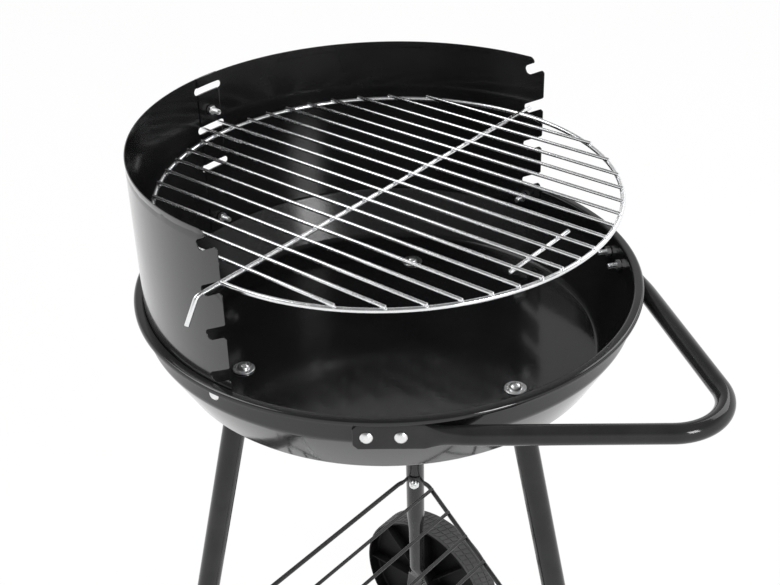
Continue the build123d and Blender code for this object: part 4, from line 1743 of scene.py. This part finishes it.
@dataclass(frozen=True)
class Fasteners:
    """All bolts, nuts and washers of the grill.

    Attributes:
        site: Shared places.
        bowl: The bowl.
        handle: The handle.
        shelf: The shelf.
        outer: Outer sheet of the windshield.
        inner: Inner sheet of the windshield.
        small: Bolts of windshield and handle.
        domed: Bolts of the shelf.
        large: Bolts of the legs.
        rim_drop: Depth of the windshield's bolts below the rim.
        seam_height: Height of the seam's bolt above the rim.
        washer: Diameter of the legs' washers.
        washer_sheet: Thickness of the washers.
        leg_reach: Length of the legs' bolts below the bowl.
    """

    site: Site
    bowl: Bowl
    handle: Handle
    shelf: Shelf
    outer: Windshield
    inner: Windshield
    small: Screw = Screw()
    domed: Screw = Screw(head=0.0112, head_height=0.0062, tail=0.003)
    large: Screw = Screw(diameter=0.006, head=0.011, head_height=0.004, tail=0.0, pitch=0.001)
    rim_drop: float = 0.011
    seam_height: float = 0.100
    washer: float = 0.0195
    washer_sheet: float = 0.0015
    leg_reach: float = 0.014

    def place(
        self, name: str, shape: bpy.types.Object, seats: list[Matrix]
    ) -> bpy.types.Object:
        """Puts copies of a fastener on its seats.

        Args:
            name: Name of the copies.
            shape: Shape of one fastener, which is removed.
            seats: Matrices of the seats.

        Returns:
            The copies as one mesh.
        """
        made = self.site.trees.copies.make(name, ZINC, seat_mesh(name, seats), Shape=shape)
        bpy.data.objects.remove(shape)
        return made

    def nut_radius(self, radius: float, shift: float = 0.0) -> float:
        """Gives the distance of a nut's seat from the axis inside a curved wall."""
        return math.sqrt(radius**2 - (shift + self.small.corner) ** 2)

    def windshield(self) -> None:
        """Makes the bolts and nuts at the rim and at the seam."""
        small, site = self.small, self.site
        inner = self.nut_radius(self.inner.radius - self.inner.sheet)
        outer = self.nut_radius(self.outer.radius - self.outer.sheet)
        rims = ((90.0, inner), (180.0, inner), (270.0, outer))
        bolts, nuts = [], []
        for angle, radius in rims:
            shank = self.bowl.outside - radius + small.stack
            seat = site.seat(angle, self.bowl.outside, -self.rim_drop)
            bolts.append(self.place(f"rim_bolt_{angle:.0f}", small.bolt(shank), [seat]))
            nuts.append(site.seat(angle, radius, -self.rim_drop, inward=True))
        seam = site.seat(180.0, self.outer.radius, self.seam_height)
        bolts.append(self.place("seam_bolt", small.bolt(self.outer.radius - inner + small.stack), [seam]))
        nuts.append(site.seat(180.0, inner, self.seam_height, inward=True))
        dress(join("windshield_screws", bolts), ZINC, Body.FRAME, "windshield_bolts")
        hexes = self.place("windshield_hexes", small.nut_shape(), nuts)
        dress(hexes, ZINC, Body.FRAME, "windshield_nuts")

    def handles(self) -> None:
        """Makes the bolts and nuts at the handle's ends."""
        small, site, handle = self.small, self.site, self.handle
        half = handle.bolt_pitch / 2
        outside = self.bowl.outside + SEAT_GAP + handle.tab_sheet
        inside = self.nut_radius(self.bowl.wall_radius, half)
        places = [(side * handle.angle, shift) for side in (1, -1) for shift in (-half, half)]
        seats = [site.seat(angle, outside, -handle.drop, shift) for angle, shift in places]
        bolts = self.place("handle_screws", small.bolt(outside - inside + small.stack), seats)
        dress(bolts, ZINC, Body.FRAME, "handle_bolts")
        seats = [site.seat(angle, inside, -handle.drop, shift, True) for angle, shift in places]
        nuts = self.place("handle_hexes", small.nut_shape(), seats)
        dress(nuts, ZINC, Body.FRAME, "handle_nuts")

    def floor(self) -> None:
        """Makes the bolts and large washers on the bowl's floor."""
        legs, bowl = self.shelf.legs, self.bowl
        level = self.site.rim - bowl.depth
        tops = [legs.top(leg) for leg in range(3)]
        spots = [Vector((top.x, top.y, level)) for top in tops]
        forward = Vector((1.0, 0.0, 0.0))
        reach, bore, sheet = self.washer / 2, self.large.diameter / 2, self.washer_sheet
        lip = sheet * 0.35
        ring = [
            (bore, 0.0), (reach - lip, 0.0), (reach, lip), (reach, sheet - lip),
            (reach - lip, sheet), (bore + lip, sheet), (bore, sheet - lip),
        ]
        disc = template(lathe("washer", ring, 64))
        washers = self.place("leg_discs", disc, [axes(spot, forward, UP) for spot in spots])
        dress(washers, ZINC, Body.FRAME, "leg_washers")
        bolt = self.large.bolt(sheet + bowl.sheet + self.leg_reach)
        turned = Vector((math.cos(0.5), math.sin(0.5), 0.0))
        bolts = self.place("leg_screws", bolt, [axes(spot + UP * sheet, turned, UP) for spot in spots])
        dress(bolts, ZINC, Body.FRAME, "leg_bolts")

    def shelves(self) -> None:
        """Makes the bolts and nuts at the shelf's eyes."""
        domed, shelf = self.domed, self.shelf
        eyes = [shelf.eye_seat(leg) for leg in range(3)]
        through = shelf.legs.tube + 2 * SEAT_GAP
        seats = [eye @ Matrix.Translation((0.0, 0.0, shelf.eye_sheet)) for eye in eyes]
        bolt = domed.bolt(shelf.eye_sheet + through + domed.stack)
        dress(self.place("shelf_screws", bolt, seats), ZINC, Body.FRAME, "shelf_bolts")
        turn = Matrix.Rotation(math.pi, 4, "X")
        seats = [eye @ Matrix.Translation((0.0, 0.0, -through)) @ turn for eye in eyes]
        dress(self.place("shelf_hexes", domed.nut_shape(), seats), ZINC, Body.FRAME, "shelf_nuts")

    def build(self) -> None:
        """Makes and dresses all fasteners, and the plugs that are hidden in the legs."""
        self.windshield()
        self.handles()
        self.floor()
        self.shelves()
        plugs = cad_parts["leg_plugs"]
        plugs.data.materials.clear()
        plugs.data.materials.append(ZINC.material())
        log.info("leg_plugs kept from the frame")


@dataclass(frozen=True)
class Wheels:
    """The two moulded wheels on their axle.

    Attributes:
        site: Shared places.
        legs: The legs that carry the axle.
        width: Width of a wheel.
        offset: Distance from a leg's middle to its wheel.
        shoulder: Radius of the tread's shoulders.
        wall: Thickness of the tread.
        web: Thickness of the web.
        ribs: Number of ribs on each face.
        rib_sheet: Thickness of a rib.
        rib_recess: Depth of the ribs below the rim.
        hub: Radius of the hub.
        axle: Diameter of the axle.
        side_gap: Clearance beside the hub.
        washer: Diameter of the axle's washers.
        washer_sheet: Thickness of those washers.
        cap: Diameter of the end caps.
        cap_depth: Depth of the end caps.
        groove: Depth of the tread's grooves.
        blocks: Number of blocks in each row of the tread.
        block_rows: Number of rows of blocks.
        block_slant: Slant of the blocks in degrees.
        block_sink: Depth of a block's middle below the wheel's radius, which keeps its corners inside.
    """

    site: Site
    legs: Legs
    width: float = 0.036
    offset: float = 0.013
    shoulder: float = 0.003
    wall: float = 0.004
    web: float = 0.005
    ribs: int = 8
    rib_sheet: float = 0.0016
    rib_recess: float = 0.003
    hub: float = 0.015
    axle: float = 0.008
    side_gap: float = 0.0003
    washer: float = 0.018
    washer_sheet: float = 0.0015
    cap: float = 0.017
    cap_depth: float = 0.008
    groove: float = 0.0007
    blocks: int = 84
    block_rows: int = 3
    block_slant: float = 24.0
    block_sink: float = 0.00015

    @property
    def radius(self) -> float:
        """Radius of the wheels, which stand on the floor."""
        return self.site.axle_z

    @property
    def start(self) -> float:
        """Distance from the grill's middle to the inner face of a wheel."""
        return self.legs.spread / 2 + self.offset

    @property
    def washer_start(self) -> float:
        """Distance from the grill's middle to a washer's inner face."""
        return self.legs.spread / 2 + self.legs.crimp_sheet / 2 + SEAT_GAP

    def seat(self, side: int, distance: float) -> Matrix:
        """Makes a seat on the axle that faces away from the middle.

        Args:
            side: 1 for +Y and -1 for -Y.
            distance: Distance from the grill's middle.

        Returns:
            The matrix of the seat.
        """
        spot = Vector((self.site.axle_x, side * distance, self.site.axle_z))
        return axes(spot, Vector((float(side), 0.0, 0.0)), Vector((0.0, float(side), 0.0)))

    def outline(self) -> list[tuple[float, float]]:
        """Makes the section of a wheel, from its inner face outward.

        Returns:
            Distances from the axle and along it.
        """
        hub_start = self.washer_start + self.washer_sheet + self.side_gap - self.start
        tread, dish = self.radius - self.groove, self.radius - self.wall
        recess = (self.width - self.web) / 2
        bore = self.axle / 2 + SEAT_GAP
        lip, round_in = 0.0012, 0.003
        corners = [
            (bore, hub_start, 0.0), (self.hub, hub_start, lip), (self.hub, recess, round_in),
            (dish, recess, round_in), (dish, 0.0, lip), (tread, 0.0, self.shoulder),
            (tread, self.width, self.shoulder), (dish, self.width, lip),
            (dish, self.width - recess, round_in), (self.hub, self.width - recess, round_in),
            (self.hub, self.width, lip), (bore, self.width, 0.0),
        ]
        points = rounded(
            [Vector((reach, along, 0.0)) for reach, along, _ in corners],
            [radius for _, _, radius in corners],
            steps=5,
        )
        return [(point.x, point.y) for point in points]

    def block_shape(self, slant: float) -> bpy.types.Object:
        """Makes the shape of one tread block, slanted across the tread.

        Args:
            slant: Slant in radians.

        Returns:
            The shape, out of the scene, with X pointing away from the axle.
        """
        along = 2 * math.pi * self.radius / self.blocks * 0.82
        across = (self.width - 2 * self.shoulder) / self.block_rows * 0.92
        shape = bmesh.new()
        bmesh.ops.create_cube(shape, size=1.0)
        bmesh.ops.scale(shape, vec=(2 * self.groove, along, across), verts=shape.verts)
        for vert in shape.verts:
            if vert.co.x > 0:
                vert.co.y *= 0.9
                vert.co.z *= 0.96
            vert.co.y += math.tan(slant) * vert.co.z
        return template(from_bmesh("tread_block", shape))

    def rib_shape(self) -> bpy.types.Object:
        """Makes the shape of one rib, which runs out from the hub on both faces."""
        dish = self.radius - self.wall
        length = dish - self.hub
        shape = bmesh.new()
        bmesh.ops.create_cube(shape, size=1.0)
        size = (length + 0.002, self.rib_sheet, self.width - 2 * self.rib_recess)
        bmesh.ops.scale(shape, vec=size, verts=shape.verts)
        return template(ease(from_bmesh("rib", shape), 0.0006))

    def wheel(self, side: int, name: str, body: Body, node: str) -> None:
        """Makes and dresses one wheel.

        Args:
            side: 1 for +Y and -1 for -Y.
            name: Name of the piece.
            body: Body that it turns with.
            node: Node of the frame that it replaces.
        """
        spokes, empty = self.site.trees.spokes, bpy.data.meshes.new("round")
        parts = [lathe("rim", self.outline(), 144)]
        rib = self.rib_shape()
        dish = self.radius - self.wall
        ribs = spokes.make(
            "ribs", WHEEL_PLASTIC, empty, Count=self.ribs, Reach=(self.hub + dish) / 2, Start_Turn=0.0, Shape=rib
        )
        ribs.data.transform(Matrix.Translation((0.0, 0.0, self.width / 2)))
        parts.append(ribs)
        bpy.data.objects.remove(rib)
        step = 2 * math.pi / self.blocks
        pitch = (self.width - 2 * self.shoulder) / self.block_rows
        for row in range(self.block_rows):
            place = (row - (self.block_rows - 1) / 2) * pitch
            start = step / 2 * (row % 2)
            block = self.block_shape(math.radians(self.block_slant))
            reach = self.radius - self.groove - self.block_sink
            blocks = spokes.make(
                f"blocks_{row}", WHEEL_PLASTIC, empty, Count=self.blocks, Reach=reach, Start_Turn=start, Shape=block
            )
            blocks.data.transform(Matrix.Translation((0.0, 0.0, self.width / 2 + place)))
            parts.append(blocks)
            bpy.data.objects.remove(block)
        piece = join(name, parts)
        tread = self.radius - self.groove - 0.0001

        def on_tread(face: bpy.types.MeshPolygon) -> bool:
            """Tells whether a face lies on the tread."""
            return math.hypot(face.center.x, face.center.y) > tread - self.shoulder / 2

        treads = [on_tread(face) for face in piece.data.polygons]
        piece.data.transform(self.seat(side, self.start))
        dress(piece, WHEEL_PLASTIC, body, node)
        repaint(piece, TREAD_PLASTIC, lambda face: treads[face.index])

    def axle_parts(self) -> None:
        """Makes and dresses the axle, its washers and its end caps."""
        copies, wire = self.site.trees.copies, self.site.trees.wire
        cap_start = self.start + self.width + self.side_gap
        half = cap_start + self.cap_depth - 0.002
        ends = [self.seat(side, half).translation for side in (1, -1)]
        axle = wire.make("axle_rod", ZINC, line_mesh("axle", ends), Sides=32, Wire_Radius=self.axle / 2)
        dress(ease(axle, 0.0006), ZINC, Body.FRAME, "axle")
        bore, reach, sheet = self.axle / 2 + SEAT_GAP, self.washer / 2, self.washer_sheet
        lip = sheet * 0.3
        ring = [
            (bore, 0.0), (reach - lip, 0.0), (reach, lip), (reach, sheet - lip), (reach - lip, sheet), (bore, sheet),
        ]
        disc = template(lathe("axle_disc", ring, 48))
        seats = [self.seat(side, self.washer_start) for side in (1, -1)]
        discs = copies.make("axle_discs", ZINC, seat_mesh("axle_discs", seats), Shape=disc)
        bpy.data.objects.remove(disc)
        dress(discs, ZINC, Body.FRAME, "axle_washers")
        reach, dome = self.cap / 2, self.cap_depth / 2
        corners = [(0.0, 0.0), (reach, 0.0), (reach, self.cap_depth), (0.0, self.cap_depth)]
        points = rounded([Vector((x, z, 0.0)) for x, z in corners], [0.0, 0.0006, dome, 0.0])
        cap = template(lathe("axle_cap", [(point.x, point.y) for point in points], 48))
        seats = [self.seat(side, cap_start) for side in (1, -1)]
        caps = copies.make("axle_end_caps", CAP_PLASTIC, seat_mesh("axle_end_caps", seats), Shape=cap)
        bpy.data.objects.remove(cap)
        dress(caps, CAP_PLASTIC, Body.FRAME, "axle_caps")

    def build(self) -> None:
        """Makes and dresses the wheels and what holds them."""
        self.wheel(1, "right_wheel", Body.WHEEL_RIGHT, "wheel_right")
        self.wheel(-1, "left_wheel", Body.WHEEL_LEFT, "wheel_left")
        self.axle_parts()


@dataclass(frozen=True)
class Lamp:
    """One soft studio lamp.

    Attributes:
        name: Name of the lamp.
        place: Where it stands.
        size: Width and height.
        power: Power in watts.
    """

    name: str
    place: tuple[float, float, float]
    size: tuple[float, float]
    power: float


@dataclass(frozen=True)
class Studio:
    """Floor, light and camera.

    Attributes:
        site: Shared places.
        camera_place: Where the camera stands, from the bowl's axis and the floor.
        azimuth: Direction of view in degrees, from +Y towards -X.
        pitch: Angle of view below the horizon in degrees.
        roll: Turn of the camera about its line of view in degrees.
        lens: Focal length in millimetres, for a sensor 36 mm wide.
        ambient: Strength of the light from all round.
        backdrop_top: Angle above the horizon where the white backdrop ends, in degrees.
        ceiling_start: Angle above the horizon where the dim ceiling starts, in degrees.
        ceiling: Brightness of the ceiling in reflections.
        floor_size: Side of the floor.
        floor_glow: Share of the floor's white that doesn't depend on its light.
        lamps: Soft lamps.
    """

    site: Site
    camera_place: tuple[float, float, float] = (0.6383, -0.7593, 1.2871)
    azimuth: float = 40.0
    pitch: float = 30.896
    roll: float = 1.568
    lens: float = 60.571
    ambient: float = 0.75
    backdrop_top: float = 14.0
    ceiling_start: float = 42.0
    ceiling: float = 0.2
    floor_size: float = 12.0
    floor_glow: float = 0.93
    lamps: tuple[Lamp, ...] = (
        Lamp("key", (-1.3, -0.7, 2.4), (1.2, 1.2), 17.0),
        Lamp("fill", (1.77, -0.26, 1.60), (0.45, 0.55), 15.0),
        Lamp("back", (0.4, 1.9, 2.2), (1.4, 1.0), 12.0),
    )

    @staticmethod
    def rays(nodes: bpy.types.Nodes, links: bpy.types.NodeLinks, *kinds: str) -> bpy.types.NodeSocket:
        """Makes a switch for some kinds of rays.

        Args:
            nodes: Nodes to add to.
            links: Links to add to.
            kinds: Kinds of rays, such as Camera or Glossy.

        Returns:
            A socket that is 1 for those rays and 0 for the rest.
        """
        path = nodes.new("ShaderNodeLightPath")
        total = path.outputs[f"Is {kinds[0]} Ray"]
        for kind in kinds[1:]:
            larger = nodes.new("ShaderNodeMath")
            larger.operation = "MAXIMUM"
            links.new(total, larger.inputs[0])
            links.new(path.outputs[f"Is {kind} Ray"], larger.inputs[1])
            total = larger.outputs[0]
        return total

    def world(self) -> None:
        """Makes a white surround with a dimmer ceiling, which lights the object softly."""
        world = bpy.data.worlds.new("studio")
        bpy.context.scene.world = world
        world.use_nodes = True
        nodes, links = world.node_tree.nodes, world.node_tree.links
        surround = nodes["Background"]
        surround.inputs["Color"].default_value = (1.0, 1.0, 1.0, 1.0)
        place = nodes.new("ShaderNodeTexCoord")
        parts = nodes.new("ShaderNodeSeparateXYZ")
        links.new(place.outputs["Generated"], parts.inputs[0])
        mirrored = nodes.new("ShaderNodeMapRange")
        mirrored.inputs["From Min"].default_value = math.sin(math.radians(self.backdrop_top))
        mirrored.inputs["From Max"].default_value = math.sin(math.radians(self.ceiling_start))
        mirrored.inputs["To Min"].default_value = 1.0
        mirrored.inputs["To Max"].default_value = self.ceiling
        links.new(parts.outputs["Z"], mirrored.inputs["Value"])
        lighting = nodes.new("ShaderNodeMapRange")
        lighting.inputs["To Min"].default_value = self.ambient
        links.new(self.rays(nodes, links, "Glossy"), lighting.inputs["Value"])
        links.new(mirrored.outputs["Result"], lighting.inputs["To Max"])
        strength = nodes.new("ShaderNodeMapRange")
        strength.inputs["To Max"].default_value = 1.0
        links.new(self.rays(nodes, links, "Camera", "Transmission"), strength.inputs["Value"])
        links.new(lighting.outputs["Result"], strength.inputs["To Min"])
        links.new(strength.outputs["Result"], surround.inputs["Strength"])

    def floor(self) -> None:
        """Makes the pale floor, which keeps the object's shadow."""
        shape = bmesh.new()
        bmesh.ops.create_grid(shape, x_segments=1, y_segments=1, size=self.floor_size / 2)
        floor = from_bmesh("studio_floor", shape)
        material = bpy.data.materials.new("pale_floor")
        material.use_nodes = True
        nodes, links = material.node_tree.nodes, material.node_tree.links
        nodes.clear()
        paint = nodes.new("ShaderNodeBsdfDiffuse")
        paint.inputs["Color"].default_value = (0.97, 0.97, 0.97, 1.0)
        glow = nodes.new("ShaderNodeEmission")
        glow.inputs["Strength"].default_value = 1.0
        mix = nodes.new("ShaderNodeMixShader")
        share = nodes.new("ShaderNodeMath")
        share.operation = "MULTIPLY"
        share.inputs[1].default_value = self.floor_glow
        links.new(self.rays(nodes, links, "Camera", "Glossy", "Transmission"), share.inputs[0])
        links.new(share.outputs[0], mix.inputs[0])
        links.new(paint.outputs[0], mix.inputs[1])
        links.new(glow.outputs[0], mix.inputs[2])
        output = nodes.new("ShaderNodeOutputMaterial")
        links.new(mix.outputs[0], output.inputs["Surface"])
        floor.data.materials.append(material)

    def light(self) -> None:
        """Makes the soft lamps, which all point at the bowl."""
        for lamp in self.lamps:
            data = bpy.data.lights.new(lamp.name, "AREA")
            data.shape = "RECTANGLE"
            data.size, data.size_y = lamp.size
            data.energy = lamp.power
            piece = link(bpy.data.objects.new(lamp.name, data))
            piece.location = lamp.place
            way = self.site.middle() - Vector(lamp.place)
            piece.rotation_euler = way.to_track_quat("-Z", "Y").to_euler()

    def camera(self) -> None:
        """Makes the camera at the photograph's viewing angle."""
        turn, dip, tilt = (math.radians(angle) for angle in (self.azimuth, self.pitch, self.roll))
        ahead = Vector((-math.sin(turn) * math.cos(dip), math.cos(turn) * math.cos(dip), -math.sin(dip)))
        right = Vector((math.cos(turn), math.sin(turn), 0.0))
        above = right.cross(ahead)
        across = right * math.cos(tilt) - above * math.sin(tilt)
        data = bpy.data.cameras.new("camera")
        data.sensor_fit = "HORIZONTAL"
        data.sensor_width = 36.0
        data.lens = self.lens
        camera = link(bpy.data.objects.new("camera", data))
        place = Vector(self.camera_place) + Vector((self.site.axis_x, 0.0, 0.0))
        camera.matrix_world = axes(place, across, -ahead)
        bpy.context.scene.camera = camera

    def build(self) -> None:
        """Makes the whole studio."""
        bpy.context.scene.view_settings.view_transform = "Standard"
        self.world()
        self.floor()
        self.light()
        self.camera()


def main() -> None:
    """Builds the grill and its studio."""
    logging.basicConfig(level=logging.INFO, format="%(name)s: %(message)s")
    site = Site.read()
    rows = Rows()
    bowl = Bowl(site)
    outer = Windshield(site, rows, bowl.wall_radius - 0.0003, -1)
    inner = Windshield(site, rows, outer.radius - outer.sheet - 0.0001, 1)
    handle = Handle(site, bowl)
    legs = Legs(site)
    shelf = Shelf(site, legs)
    bowl.build()
    outer.build("front_windshield", "windshield_front")
    inner.build("rear_windshield", "windshield_rear")
    Grate(site, rows).build()
    handle.build()
    legs.build()
    shelf.build()
    Fasteners(site, bowl, handle, shelf, outer, inner).build()
    Wheels(site, legs).build()
    Studio(site).build()


if __name__ == "__main__":
    main()
